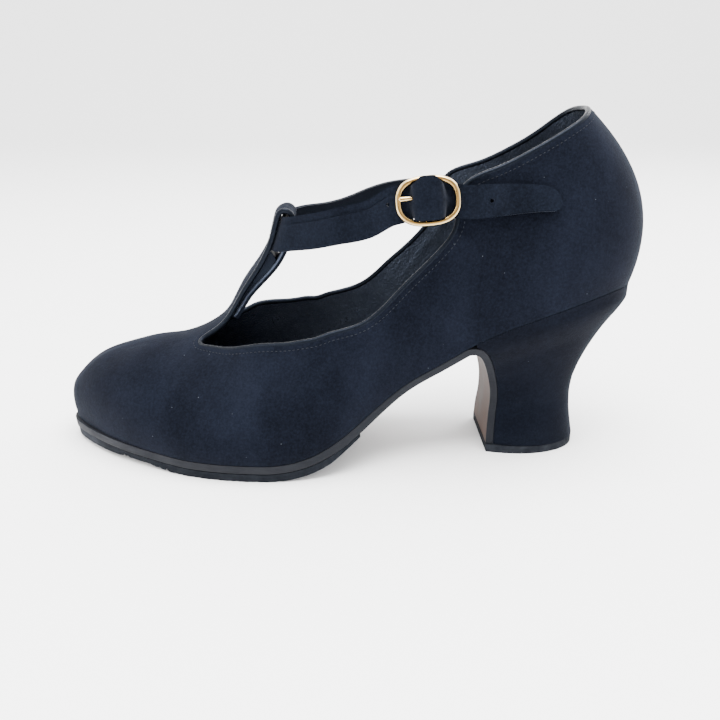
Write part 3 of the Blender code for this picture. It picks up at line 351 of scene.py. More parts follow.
def edge_columns(side):
    """Station, height and rib end of each rib, from the back to the T-bar's fold.

    The ribs are spaced evenly by the mean of their steps at both ends, and one ends at the tip of
    the toe.
    """
    stations = np.array(column(OPENING, 0) + column(T_BAR, 0))
    bar = bar_height(np.array(column(T_BAR, 0)))
    outer, inner = (np.concatenate([column(OPENING, index), bar]) for index in (1, 2))
    ends = np.array(column(OPENING, 3) + column(T_BAR, 1))
    fine = np.linspace(0, 1, EDGE_SAMPLES)
    rough = run_length(last_surface(stations, outer, LATERAL))
    rough /= rough[-1]
    station, height, inner_height = (
        natural_spline(rough, values)(fine) for values in (stations, outer, inner))
    end = steady_spline(rough, ends)(fine)
    far_station, far_height = rib_end(end)
    near = run_length(last_surface(station, height, LATERAL))
    far = run_length(last_surface(far_station, far_height, LATERAL))
    length = near / near[-1] + LOWER_END_WEIGHT * far / far[-1]
    toe = np.interp(1.0, end, length)
    steps = np.concatenate([np.linspace(0, toe, HEEL_COLUMNS),
                            np.linspace(toe, length[-1], TOE_COLUMNS + 1)[1:]])
    ends = np.interp(steps, length, end)
    ends[HEEL_COLUMNS - 1] = 1.0
    ends[-1] = T_BAR[-1][1]
    heights = np.interp(steps, length, inner_height if side == MEDIAL else height)
    return np.interp(steps, length, station), heights, ends


def offset_on_face(side, stations, heights, distance):
    """Stations and heights of a line moved square to itself on the outer face, towards the foot."""
    reach = 0.001
    line = last_surface(stations, heights, side)
    by_station = (last_surface(stations + reach, heights, side) - line) / reach
    by_height = (line - last_surface(stations, heights - reach, side)) / reach
    way = unit(np.gradient(line, axis=0))
    across = -unit(np.cross(np.cross(by_station, by_height), way))
    matrix = np.stack([np.stack([(by_station * across).sum(1), (by_height * across).sum(1)], -1),
                       np.stack([(by_station * way).sum(1), (by_height * way).sum(1)], -1)], 1)
    goal = np.zeros((len(stations), 2, 1))
    goal[:, 0] = distance
    shift = np.linalg.solve(matrix, goal)[..., 0]
    shift[stations < 1e-6, 0] = 0
    return stations + shift[:, 0], heights + shift[:, 1]


def ribs(side, stations, heights, ends, start):
    """A net on the outer face: each rib runs from the edge, moved in by the start, to its end."""
    end_station, end_height = rib_end(ends)
    stations, heights = offset_on_face(side, stations, heights, start)
    share = 1 - (1 - np.linspace(0, 1, UPPER_ROWS + 1)) ** ROW_CLOSENESS
    station = stations[:, None] + (end_station - stations)[:, None] * share
    height = heights[:, None] + (end_height - heights)[:, None] * share
    return last_surface(station, height, side)


FOLD_DEPTH = 2 * UPPER_WALL + STRAP_THICK + 5 * GAP
SHARP_ANGLE = math.radians(40)
ROUNDED_ANGLE = math.radians(38)


def finished(name, mesh, material):
    """A mesh object with smooth faces and sharp corners, in the scene."""
    mesh.materials.clear()
    mesh.materials.append(material)
    mesh.shade_smooth()
    mesh.set_sharp_from_angle(angle=SHARP_ANGLE)
    thing = bpy.data.objects.new(name, mesh)
    bpy.context.scene.collection.objects.link(thing)
    return thing


def add_mesh(name, points, faces, material, closed=True, marks=None):
    """A mesh object from points, faces and values kept on the points, with meeting points joined."""
    mesh = bpy.data.meshes.new(name)
    mesh.from_pydata([tuple(np.add(point, SHOE_PLACE)) for point in points], [], faces)
    for label, values in (marks or {}).items():
        mesh.attributes.new(label, "FLOAT", "POINT").data.foreach_set("value", np.asarray(values, float))
    work = bmesh.new()
    work.from_mesh(mesh)
    bmesh.ops.remove_doubles(work, verts=work.verts, dist=2e-6)
    bmesh.ops.dissolve_degenerate(work, edges=work.edges, dist=1e-6)
    if closed:
        bmesh.ops.recalc_face_normals(work, faces=work.faces)
    work.to_mesh(mesh)
    work.free()
    return finished(name, mesh, material)


def baked(thing):
    """The same object with its modifiers worked into a plain mesh."""
    graph = bpy.context.evaluated_depsgraph_get()
    mesh = bpy.data.meshes.new_from_object(thing.evaluated_get(graph))
    name = thing.name
    material = next(used for used in mesh.materials if used)
    bpy.data.objects.remove(thing)
    return finished(name, mesh, material)


def combined(thing, operation, tools):
    """The same object with tools cut from it or joined to it; the tools are used up."""
    for tool in tools:
        step = thing.modifiers.new("Combine", "BOOLEAN")
        step.operation = operation
        step.solver = "EXACT"
        step.object = tool
    thing = baked(thing)
    for tool in tools:
        bpy.data.objects.remove(tool)
    return thing


def give_thickness(thing, thickness, offset):
    wall = thing.modifiers.new("Thickness", "SOLIDIFY")
    wall.thickness = thickness
    wall.offset = offset


def round_edges(thing, width):
    bevel = thing.modifiers.new("Round edges", "BEVEL")
    bevel.width = width
    bevel.segments = 3
    bevel.limit_method = "ANGLE"
    bevel.angle_limit = ROUNDED_ANGLE


def moved_along_normals(thing, distances):
    """Moves each point of an object along its own normal."""
    mesh = thing.data
    places = np.empty(len(mesh.vertices) * 3)
    normals = np.empty(len(mesh.vertices) * 3)
    mesh.vertices.foreach_get("co", places)
    mesh.vertex_normals.foreach_get("vector", normals)
    places = places.reshape(-1, 3) + normals.reshape(-1, 3) * distances[:, None]
    mesh.vertices.foreach_set("co", places.ravel())
    mesh.update()


def ease_round(thing, centre, near, far, rounds):
    """Evens out a net round a place on it, less and less from a near to a far distance."""
    mesh = thing.data
    places = np.array([vertex.co for vertex in mesh.vertices])
    ends = np.array([edge.vertices[:] for edge in mesh.edges])
    count = np.bincount(ends.ravel(), minlength=len(places))[:, None]
    share = 0.5 * soft_step(np.linalg.norm(places - SHOE_PLACE - centre, axis=1), far, near)[:, None]
    for _ in range(rounds):
        total = np.zeros_like(places)
        np.add.at(total, ends[:, 0], places[ends[:, 1]])
        np.add.at(total, ends[:, 1], places[ends[:, 0]])
        places += share * (total / count - places)
    mesh.vertices.foreach_set("co", places.ravel())
    mesh.update()


def trough_depths(thing, troughs):
    """Depth at each point under soft troughs, each a line on the last with a width and a depth."""
    places = np.array([vertex.co for vertex in thing.data.vertices]) - SHOE_PLACE
    depth = np.zeros(len(places))
    for side, start, end, width, deep in troughs:
        a, b = last_surface(*start, side), last_surface(*end, side)
        way = b - a
        share = ((places - a) @ way) / (way @ way)
        near = a + np.clip(share, 0, 1)[:, None] * way
        away = np.linalg.norm(places - near, axis=1)
        fade = np.clip(1 - np.abs(2 * share - 1) ** 2, 0, 1)
        depth += deep * np.exp(-(away / width) ** 2) * fade
    return depth


def new_material(name):
    material = bpy.data.materials.new(name)
    material.use_nodes = True
    return material, material.node_tree, material.node_tree.nodes["Principled BSDF"]


def feed(made, inputs):
    """Sets a node's inputs, each to a value or to another node's output."""
    for name, value in inputs.items():
        if isinstance(value, bpy.types.NodeSocket):
            made.id_data.links.new(value, made.inputs[name])
        else:
            made.inputs[name].default_value = value


def node(tree, kind, inputs, **settings):
    """A node with its settings and its inputs."""
    made = tree.nodes.new(kind)
    for name, value in settings.items():
        setattr(made, name, value)
    feed(made, inputs)
    return made


def place_on(tree, stretch=(1, 1, 1)):
    """The object's own coordinates, stretched."""
    coords = node(tree, "ShaderNodeTexCoord", {})
    return node(tree, "ShaderNodeMapping", {"Vector": coords.outputs["Object"], "Scale": stretch}).outputs[0]


def noise(tree, where, scale, detail=3.0, rough=0.5, warp=0.0):
    return node(tree, "ShaderNodeTexNoise", {"Vector": where, "Scale": scale, "Detail": detail,
                                             "Roughness": rough, "Distortion": warp}).outputs["Fac"]


def spread(tree, value, low, high, to_low=0.0, to_high=1.0):
    """A value spread from one range to another, without going past its ends."""
    return node(tree, "ShaderNodeMapRange", {"Value": value, "From Min": low, "From Max": high,
                                             "To Min": to_low, "To Max": to_high}).outputs[0]


def blend(tree, share, first, second):
    """Two colours mixed, each a node's output or red, green and blue."""
    first, second = (colour if isinstance(colour, bpy.types.NodeSocket) else (*colour, 1)
                     for colour in (first, second))
    return node(tree, "ShaderNodeMix", {0: share, 6: first, 7: second}, data_type="RGBA").outputs[2]


def times(tree, first, second):
    return node(tree, "ShaderNodeMath", {0: first, 1: second}, operation="MULTIPLY").outputs[0]


def mark(tree, label):
    """A value kept on the mesh's points."""
    return node(tree, "ShaderNodeAttribute", {}, attribute_name=label).outputs["Fac"]


def raised(tree, height, strength, distance, under=None):
    inputs = {"Height": height, "Strength": strength, "Distance": distance}
    if under is not None:
        inputs["Normal"] = under
    return node(tree, "ShaderNodeBump", inputs).outputs[0]


def suede_material(name, dark, light, lint):
    """Suede: a fine upright nap that is brushed lighter in soft patches, with a few lint specks."""
    material, tree, shader = new_material(name)
    where = place_on(tree)
    brushed = noise(tree, place_on(tree, (1, 1, 0.6)), 42, 4, 0.55, 0.6)
    mottled = noise(tree, place_on(tree, (0.6, 1, 1)), 420, 5, 0.65)
    nap = noise(tree, where, 1100, 6, 0.85)
    patches = spread(tree, brushed, 0.36, 0.68)
    grain = spread(tree, nap, 0.40, 0.62)
    share = node(tree, "ShaderNodeMath", {0: times(tree, patches, 0.45), 1: times(tree, grain, 0.55)},
                 operation="ADD").outputs[0]
    colour = blend(tree, share, dark, light)
    specks = node(tree, "ShaderNodeTexVoronoi", {"Vector": where, "Scale": 380, "Randomness": 1.0})
    small = spread(tree, specks.outputs["Distance"], 0.04, 0.075, 1.0, 0.0)
    few = spread(tree, node(tree, "ShaderNodeSeparateColor", {"Color": specks.outputs["Color"]}).outputs[0],
                 1 - lint, 1 - lint + 0.01)
    colour = blend(tree, times(tree, small, few), colour, (0.070, 0.078, 0.092))
    soft = raised(tree, mottled, 0.35, 0.0004)
    feed(shader, {"Base Color": colour, "Roughness": 0.92, "Specular IOR Level": 0.03,
                  "Sheen Weight": 0.045, "Sheen Roughness": 0.45, "Sheen Tint": (0.62, 0.68, 0.85, 1),
                  "Normal": raised(tree, nap, 0.55, 0.00012, soft)})
    return material


upper_suede = suede_material("upper_suede_nap", (0.0008, 0.0012, 0.0026), (0.0057, 0.0074, 0.0132),
                             lint=0.12)

# Soft troughs where the suede gives: side, where each starts and ends, its width and its depth.
SUEDE_TROUGHS = [
    (LATERAL, (0.585, 0.42), (0.640, 0.62), 0.0050, 0.00035),
    (LATERAL, (0.640, 0.22), (0.700, 0.52), 0.0060, 0.00030),
    (MEDIAL, (0.600, 0.45), (0.660, 0.78), 0.0050, 0.00035),
    (LATERAL, (0.440, 0.10), (0.520, 0.28), 0.0045, 0.00030),
    (LATERAL, (0.230, 0.30), (0.300, 0.62), 0.0050, 0.00025),
    (LATERAL, (0.090, 0.20), (0.200, 0.34), 0.0045, 0.00030),
    (LATERAL, (0.130, 0.70), (0.240, 0.60), 0.0040, 0.00020),
    (LATERAL, (0.760, 0.14), (0.860, 0.30), 0.0050, 0.00020),
]


def grid_faces(rows, columns, first=0, flip=False):
    """Faces of a net whose points run row by row."""
    faces = []
    for row in range(rows - 1):
        for col in range(columns - 1):
            a = first + row * columns + col
            face = (a, a + 1, a + columns + 1, a + columns)
            faces.append(face[::-1] if flip else face)
    return faces


def bar_row(station, edge_gap):
    """Points across the T-bar's front at a station, from its outer edge to its inner edge."""
    places = station + np.array([BAR_ROW_SLANT, 0.0, -BAR_ROW_SLANT])
    outer, inner = (ribs(side, places, bar_height(places), 3 - places, edge_gap)[1]
                    for side in (LATERAL, MEDIAL))
    return np.concatenate([outer, inner[::-1][1:]])


def bar_inward(station):
    """The level-sided direction behind the T-bar's front at a station."""
    near_ridge = 0.98
    both = (surface_normal(station, near_ridge, LATERAL) + surface_normal(station, near_ridge, MEDIAL))
    return -unit(both * [1.0, 0.0, 1.0])


def bar_up(station):
    """The direction up the T-bar at a station."""
    inward = bar_inward(station)
    return np.array([-inward[2], 0.0, inward[0]])


def fold_points(points, angle, radius):
    """Points carried from the T-bar's front round its fold by an angle, at a radius."""
    top_station = T_BAR[-1][0]
    inward, up = bar_inward(top_station), bar_up(top_station)
    middle = points + inward * FOLD_DEPTH / 2
    return middle + radius * (np.sin(angle) * up - np.cos(angle) * inward)


def bar_strip(edge_gap):
    """The fold over the strap and the return behind the T-bar, row by row from the top rib."""
    top = bar_row(T_BAR[-1][0], edge_gap)
    strip = [fold_points(top, angle, FOLD_DEPTH / 2) for angle in np.linspace(0, np.pi, FOLD_ROWS)]
    steps = np.linspace(0, len(T_BAR_RETURN) - 1, RETURN_ROWS)
    places = np.arange(len(T_BAR_RETURN))
    stations = natural_spline(places, column(T_BAR_RETURN, 0))(steps)
    depths = steady_spline(places, column(T_BAR_RETURN, 1))(steps)
    for station, depth in list(zip(stations, depths))[1:]:
        strip.append(bar_row(station, edge_gap) + bar_inward(station) * FOLD_DEPTH * depth)
    return np.array(strip)


def upper_face(name, material):
    """The upper's outer face as an open net, with its soft troughs."""
    points, faces = [], []
    for side in (LATERAL, MEDIAL):
        net = ribs(side, *edge_columns(side), TUCKED_EDGE)
        faces += grid_faces(len(net), UPPER_ROWS + 1, len(points), flip=side == LATERAL)
        points += list(net.reshape(-1, 3))
    strip = bar_strip(TUCKED_EDGE)
    faces += grid_faces(len(strip), strip.shape[1], len(points), flip=True)
    points += list(strip.reshape(-1, 3))
    face = add_mesh(name, points, faces, material, closed=False)
    ease_round(face, profile_top(1.0, LATERAL), *TOE_EASED, TOE_ROUNDS)
    moved_along_normals(face, -trough_depths(face, SUEDE_TROUGHS))
    return face


suede = upper_face("suede_upper", upper_suede)
give_thickness(suede, SUEDE_THICK, -1)
suede = baked(suede)
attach(suede, "root")
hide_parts("upper")

# ---- Quarter and vamp lining: grained black leather cemented to the suede's back and trimmed with it.
# ---- It wrinkles on the inner quarter, where the foot bends it, and shows a blue-grey shine there; its grain colour is also lightened all over as a painted sheen.
LINING_GAP = 0.00005
LINING_THICK = 0.0007
# Wrinkles in the lining, with the columns of the suede's troughs.
LINING_WRINKLES = [
    (MEDIAL, (0.385, 0.46), (0.330, 0.84), 0.0014, 0.00055),
    (MEDIAL, (0.420, 0.34), (0.360, 0.66), 0.0013, 0.00050),
    (MEDIAL, (0.450, 0.26), (0.385, 0.52), 0.0012, 0.00045),
    (MEDIAL, (0.480, 0.22), (0.420, 0.44), 0.0012, 0.00040),
    (MEDIAL, (0.520, 0.24), (0.470, 0.36), 0.0012, 0.00035),
    (MEDIAL, (0.350, 0.56), (0.300, 0.80), 0.0016, 0.00040),
    (MEDIAL, (0.330, 0.44), (0.420, 0.50), 0.0012, 0.00035),
]


def leather_material(name, dark, light, rough, grain_size, depth, shine=0.22):
    """Smooth black leather: cells of fine grain, faint wear and an uneven shine."""
    material, tree, shader = new_material(name)
    where = place_on(tree)
    cells = node(tree, "ShaderNodeTexVoronoi", {"Vector": where, "Scale": 1 / grain_size, "Detail": 1.0,
                                                "Randomness": 1.0}).outputs["Distance"]
    worn = noise(tree, where, 130, 5, 0.6)
    fine = noise(tree, where, 3200, 3, 0.6)
    share = times(tree, spread(tree, worn, 0.35, 0.70, 0.35, 1.0), spread(tree, cells, 0.10, 0.60, 1.0, 0.25))
    soft = raised(tree, cells, 0.6, depth)
    feed(shader, {"Base Color": blend(tree, share, dark, light),
                  "Roughness": spread(tree, worn, 0.3, 0.7, rough + 0.10, rough - 0.08),
                  "Specular IOR Level": shine, "Specular Tint": (0.58, 0.70, 1.0, 1.0),
                  "Normal": raised(tree, fine, 0.25, depth * 0.4, soft)})
    return material


# The light end of the grain is set well above black leather as a painted sheen, on top of the grain's own
# cells and wear.
lining_leather = leather_material("lining_leather_grain_and_painted_sheen", (0.0070, 0.0088, 0.0125), (0.0520, 0.0600, 0.0760),
                                  rough=0.34, grain_size=0.0009, depth=0.00040, shine=0.70)
lining = upper_face("quarter_lining", lining_leather)
moved_along_normals(lining, np.full(len(lining.data.vertices), -SUEDE_THICK - LINING_GAP))
moved_along_normals(lining, -trough_depths(lining, LINING_WRINKLES))
give_thickness(lining, LINING_THICK, -1)
lining = baked(lining)
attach(lining, "root")
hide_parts("upper")

# ---- Topline binding: a strip of dark grey kid leather folded over the raw edge of the opening and both
# ---- edges of the T-bar, so that it reads as a round bead with a thin shine along it.
BEAD_SIDES = 16
BINDING_TURN = 165
binding_leather = leather_material("binding_leather", (0.0016, 0.0021, 0.0032), (0.0055, 0.0066, 0.0090),
                                   rough=0.28, grain_size=0.0006, depth=0.00008, shine=0.10)


def tube_rings(line, radii, sides, cyclic=False):
    """Rings of points round a line, carried along it without twisting."""
    line = np.asarray(line, float)
    if cyclic:
        way = unit(np.roll(line, -1, axis=0) - np.roll(line, 1, axis=0))
    else:
        way = unit(np.gradient(line, axis=0))
    lean = np.cross(way[0], [0.31, 0.57, 0.76])
    rings = []
    turns = np.linspace(0, 2 * np.pi, sides, endpoint=False)
    for place, along, radius in zip(line, way, np.broadcast_to(radii, len(line))):
        lean = unit(lean - along * (lean @ along))
        third = np.cross(along, lean)
        rings.append(place + radius * (np.cos(turns)[:, None] * lean + np.sin(turns)[:, None] * third))
    return np.array(rings)


def loop_faces(count, wide, cyclic=False):
    """Faces from each loop of points to the next, and from the last to the first in a cyclic run."""
    return [(row * wide + col, row * wide + (col + 1) % wide,
             (row + 1) % count * wide + (col + 1) % wide, (row + 1) % count * wide + col)
            for row in range(count if cyclic else count - 1) for col in range(wide)]


def tube_mesh(name, line, radii, sides, material, cyclic=False):
    """A wire, bead or stitch along a line, closed at its ends."""
    rings = tube_rings(line, radii, sides, cyclic)
    faces = loop_faces(len(rings), sides, cyclic)
    if not cyclic:
        last = (len(rings) - 1) * sides
        faces += [tuple(range(sides))[::-1], tuple(range(last, last + sides))]
    return add_mesh(name, rings.reshape(-1, 3), faces, material)


def smooth_run(points, spacing):
    """A line of points drawn again at an even spacing."""
    length = run_length(points)
    steps = np.linspace(0, length[-1], int(length[-1] / spacing) + 2)
    return np.stack([np.interp(steps, length, points[:, axis]) for axis in range(3)], -1)


def round_end(share, least):
    """The part of the full width at a round end, from how far in it is as a share of its radius."""
    return np.sqrt(np.clip(1 - (1 - np.clip(share, 0, 1)) ** 2, least, 1))


halves = []
for side in (LATERAL, MEDIAL):
    stations, heights, _ = edge_columns(side)
    face = last_surface(stations, heights, side)
    bead = face - surface_normal(stations, heights, side) * UPPER_WALL / 2
    bend = [fold_points(face[-1], angle, (FOLD_DEPTH - UPPER_WALL) / 2)
            for angle in np.radians(np.linspace(0, BINDING_TURN, FOLD_ROWS))]
    halves.append(np.concatenate([bead[:-1], bend]))
binding_line = np.concatenate([halves[0][::-1], halves[1][1:]])
from_end = run_length(binding_line)
from_end = np.minimum(from_end, from_end[-1] - from_end)
binding_radii = BEAD_RADIUS * round_end(from_end / BEAD_RADIUS, 0.1)
binding = tube_mesh("topline_binding", binding_line, binding_radii, BEAD_SIDES, binding_leather)
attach(binding, "root")
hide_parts("topline_piping")

# ---- Topline stitching: one row of grey thread through suede and lining, close below the
# ---- binding on each side. It comes up short between the holes, a little uneven from stitch to stitch.
STITCH_LINE_DROP = 0.0013
STITCH_LINE_LIFT = 0.00004
STITCH_LINE_STEP = 0.0006
STITCH_SPACING = 0.0017
STITCH_LENGTH = 0.0010
STITCH_RADIUS = 0.00015


def thread_material(name, colour):
    """Dull twisted thread."""
    material, tree, shader = new_material(name)
    twist = node(tree, "ShaderNodeTexWave",
                 {"Vector": place_on(tree), "Scale": 1100, "Distortion": 2.0}).outputs["Fac"]
    feed(shader, {"Base Color": blend(tree, twist, [part * 0.6 for part in colour], colour),
                  "Roughness": 0.75, "Specular IOR Level": 0.15,
                  "Normal": raised(tree, twist, 0.5, 0.0001)})
    return material


def stitch_tree():
    """Short stitches set at an even spacing along a line, each a little longer or shorter."""
    tree = bpy.data.node_groups.new("row_of_stitches", "GeometryNodeTree")
    for label, kind in (("Line", "NodeSocketGeometry"), ("Spacing", "NodeSocketFloat"),
                        ("Length", "NodeSocketFloat"), ("Radius", "NodeSocketFloat"),
                        ("Seed", "NodeSocketInt"), ("Thread", "NodeSocketMaterial")):
        tree.interface.new_socket(label, in_out="INPUT", socket_type=kind)
    tree.interface.new_socket("Stitches", in_out="OUTPUT", socket_type="NodeSocketGeometry")
    given = node(tree, "NodeGroupInput", {}).outputs
    curve = node(tree, "GeometryNodeMeshToCurve", {"Mesh": given["Line"]}).outputs[0]
    spots = node(tree, "GeometryNodeCurveToPoints", {"Curve": curve, "Length": given["Spacing"]},
                 mode="LENGTH").outputs
    ball = node(tree, "GeometryNodeMeshUVSphere", {"Segments": 8, "Rings": 6, "Radius": 1.0}).outputs[0]
    half = node(tree, "ShaderNodeMath", {0: given["Length"], 1: 0.5}, operation="MULTIPLY").outputs[0]
    shape = node(tree, "ShaderNodeCombineXYZ", {"X": given["Radius"], "Y": given["Radius"], "Z": half})
    stitch = node(tree, "GeometryNodeTransform", {"Geometry": ball, "Scale": shape.outputs[0]}).outputs[0]
    vary = node(tree, "FunctionNodeRandomValue", {2: 0.88, 3: 1.10, "Seed": given["Seed"]}).outputs[1]
    row = node(tree, "GeometryNodeInstanceOnPoints",
               {"Points": spots["Points"], "Instance": stitch, "Rotation": spots["Rotation"],
                "Scale": vary}).outputs[0]
    solid = node(tree, "GeometryNodeRealizeInstances", {"Geometry": row}).outputs[0]
    dyed = node(tree, "GeometryNodeSetMaterial", {"Geometry": solid, "Material": given["Thread"]})
    node(tree, "NodeGroupOutput", {"Stitches": dyed.outputs[0]})
    return tree


ROW_OF_STITCHES = stitch_tree()


def add_stitches(name, lines, thread, seed):
    """Rows of stitches along lines of points, as one plain mesh."""
    points, edges = [], []
    for line in lines:
        edges += [(len(points) + step, len(points) + step + 1) for step in range(len(line) - 1)]
        points += [tuple(np.add(point, SHOE_PLACE)) for point in line]
    mesh = bpy.data.meshes.new(name)
    mesh.from_pydata(points, edges, [])
    thing = bpy.data.objects.new(name, mesh)
    bpy.context.scene.collection.objects.link(thing)
    set_along = thing.modifiers.new("Stitches", "NODES")
    set_along.node_group = ROW_OF_STITCHES
    values = {"Spacing": STITCH_SPACING, "Length": STITCH_LENGTH, "Radius": STITCH_RADIUS,
              "Seed": seed, "Thread": thread}
    for socket in ROW_OF_STITCHES.interface.items_tree:
        if socket.in_out == "INPUT" and socket.name in values:
            set_along[socket.identifier] = values[socket.name]
    return baked(thing)


grey_thread = thread_material("dark_grey_thread", (0.0085, 0.0105, 0.0155))
stitch_lines = []
for side in (LATERAL, MEDIAL):
    stations, heights, _ = edge_columns(side)
    stations, heights = offset_on_face(side, stations, heights, BEAD_RADIUS + STITCH_LINE_DROP)
    lift = surface_normal(stations, heights, side) * STITCH_LINE_LIFT
    stitch_lines.append(smooth_run(last_surface(stations, heights, side) + lift, STITCH_LINE_STEP))
topline_stitching = add_stitches("topline_stitching", stitch_lines, grey_thread, seed=4)
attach(topline_stitching, "root")

# ---- T-bar filling: soft black leather glued between the T-bar and its turned-down end below the
# ---- strap, and skived to a thin backing where the strap passes through the fold.
FILLING_EDGE = 0.0011
FILLING_BACKING = 0.0004
FILLING_STATIONS = (0.511, 0.601)
FILLING_FULL_FROM = (0.537, 0.5415)
FILLING_ROWS = 46
filling_leather = leather_material("filling_leather", (0.0016, 0.0022, 0.0038), (0.0064, 0.0080, 0.0130),
                                   rough=0.55, grain_size=0.0008, depth=0.00010, shine=0.12)


def add_loops(name, loops, material, marks=None):
    """A closed solid through loops of points; each end is capped across from one half to the other."""
    count, wide = loops.shape[:2]
    faces = loop_faces(count, wide)
    faces += [(first + col, first + col + 1, first + wide - 2 - col, first + wide - 1 - col)
              for first in (0, (count - 1) * wide) for col in range((wide - 1) // 2)]
    return add_mesh(name, loops.reshape(-1, 3), faces, material, marks=marks)


stations = np.linspace(*FILLING_STATIONS, FILLING_ROWS)
return_depth = steady_spline(column(T_BAR_RETURN, 0), column(T_BAR_RETURN, 1))(stations)
fronts = np.array([bar_row(station, FILLING_EDGE) for station in stations])
inwards = np.array([bar_inward(station) for station in stations])[:, None]
full = np.interp(stations, FILLING_FULL_FROM, (0, 1))
back_depth = (UPPER_WALL + FILLING_BACKING) * (1 - full) + (FOLD_DEPTH * return_depth - UPPER_WALL) * full
backs = fronts + inwards * back_depth[:, None, None]
loops = np.concatenate([fronts + inwards * UPPER_WALL, backs[:, ::-1]], axis=1)
filling = add_loops("t_bar_filling", loops, filling_leather)
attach(filling, "root")
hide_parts("upper")

# ---- Sock: a soft black leather insole with a padded underside, lying on the last's bottom inside the
# ---- upper. It is glued down, and shows only from above and through the open sides.
INSOLE_THICK = 0.0024
INSOLE_TOE_MARGIN = 0.0012
INSOLE_TOE_STATIONS = (0.85, 0.95)
SOCK_ROWS = 145
SOCK_ACROSS = 19
SOCK_BOW = 0.0006
SOCK_ROUNDING = 0.0006


def add_slab(name, top_left, top_right, base_left, base_right, shares, material, bow=0.0):
    """A closed slab from a ladder of rungs, ruled from the left rails to the right; its underside's
    middle is marked, and its top may bow down."""
    share = np.asarray(shares)[None, :, None]
    top = top_left[:, None] * (1 - share) + top_right[:, None] * share
    base = base_left[:, None] * (1 - share) + base_right[:, None] * share
    top = top - [0, 0, bow] * np.sin(np.pi * share) ** 2
    count, wide = top.shape[:2]
    underside = np.zeros(2 * wide)
    underside[wide + 2:-2] = 1
    marks = {"underside": np.tile(underside, count), "along": np.repeat(np.linspace(0, 1, count), 2 * wide)}
    return add_loops(name, np.concatenate([top, base[:, ::-1]], axis=1), material, marks)


stations = np.linspace(0, 1, SOCK_ROWS)
inset = UPPER_WALL + 3 * GAP + INSOLE_TOE_MARGIN * np.interp(stations, INSOLE_TOE_STATIONS, (0, 1))
rails = []
for side in (LATERAL, MEDIAL):
    out = plan_normal(stations, side)
    rails.append(feather_edge(stations, side) - stacked(out[:, 0], out[:, 1], 0) * inset[:, None])
sock_leather = leather_material("sock_leather", (0.0070, 0.0076, 0.0090), (0.0200, 0.0205, 0.0230),
                                rough=0.55, grain_size=0.0011, depth=0.00012)
top, base = ([rail + [0, 0, rise] for rail in rails] for rise in (GAP + INSOLE_THICK, GAP))
sock = add_slab("sock", *top, *base, np.linspace(0, 1, SOCK_ACROSS), sock_leather, SOCK_BOW)
round_edges(sock, SOCK_ROUNDING)
sock = baked(sock)
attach(sock, "root")
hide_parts("insole")

# ---- Leather sole: one cut of sole leather from the toe to the heel that goes on down the heel's front
# ---- as a flap. Its edge is trimmed and dyed dark grey; its underside is left tan from the waist back.
EDGE_BEVEL = 0.0007
OUTSOLE_WAIST_THICK = 0.0027
TOE_MARGIN = 0.0014

# The heel's seat and the sole's reach ahead of it, the top piece, and the stations over which the toe's
# margin and the waist's thickness come in.
HEEL_LENGTH = 0.0517
BREAST_REACH = 0.0155
TOP_PIECE_THICK = 0.0032
TOP_PIECE_SETBACK = 0.0169
TOP_PIECE_WIDTH = 0.0400
HEEL_LIP = 0.0045
MARGIN_STATIONS = (0.72, 0.86)
WAIST_STATIONS = (0.44, 0.50)
SOLE_TOE_STATION = 0.88
EDGE_ROUNDING = 0.0004
SOLE_TOE_ROWS = 49
SOLE_ROWS = 161
BREAST_ROWS = 60

# The heel block. Columns: level from the seat down, then how far back and sides have drawn in, as
# shares of the difference between seat and foot.
HEEL_LEVELS = [
    (0.00, 0.000, 0.00),
    (0.03, 0.005, 0.02),
    (0.07, 0.015, 0.06),
    (0.11, 0.085, 0.15),
    (0.16, 0.205, 0.30),
    (0.21, 0.340, 0.47),
    (0.28, 0.515, 0.70),
    (0.36, 0.690, 0.89),
    (0.45, 0.860, 1.07),
    (0.54, 1.000, 1.19),
    (0.63, 1.095, 1.26),
    (0.72, 1.128, 1.285),
    (0.81, 1.115, 1.18),
    (0.90, 1.070, 1.06),
    (1.00, 1.000, 1.00),
]
HEEL_FRONT_TAPER = 0.10
HEEL_TAPER_LEVEL = 0.4
HEEL_POINTS = 49
FLAP_LEVELS = 80

# The sole's flap down the front of the heel. Columns: share of BREAST_REACH behind the place where
# the sole leaves the last, and share of that place's height above the flap's lower end.
BREAST = [
    (0.187, 1.018),
    (0.368, 1.010),
    (0.523, 0.970),
    (0.640, 0.905),
    (0.755, 0.815),
    (0.865, 0.700),
    (0.950, 0.584),
    (0.993, 0.481),
    (0.994, 0.355),
    (0.974, 0.250),
    (0.950, 0.158),
    (0.929, 0.000),
]


def station_at(x):
    """The station whose feather edge lies at a place along the shoe."""
    return math.acos(1 - 2 * (LAST_BACK_X - x) / LAST_LENGTH) / math.pi


def breast_line(rows):
    """The sole's upper face from where it leaves the last, down the heel's front, as x and z."""
    start_x = LAST_BACK_X - HEEL_LENGTH - BREAST_REACH
    start_z = float(feather_edge(station_at(start_x), LATERAL)[2]) - GAP
    before = feather_edge(station_at(start_x - GAP), LATERAL) - [0, 0, GAP]
    foot_z = TOP_PIECE_THICK + GAP
    points = [(before[0], before[2]), (start_x, start_z)]
    points += [(start_x + BREAST_REACH * back, foot_z + (start_z - foot_z) * up) for back, up in BREAST]
    points = np.array(points)
    length = run_length(points)
    steps = np.linspace(length[1], length[-1], rows)
    return np.stack([natural_spline(length, points[:, axis])(steps) for axis in (0, 1)], -1)


def line_normal(line):
    """Normals of a line of x and z, on its left."""
    way = unit(np.gradient(line, axis=0))
    return np.stack([-way[:, 1], way[:, 0]], -1)


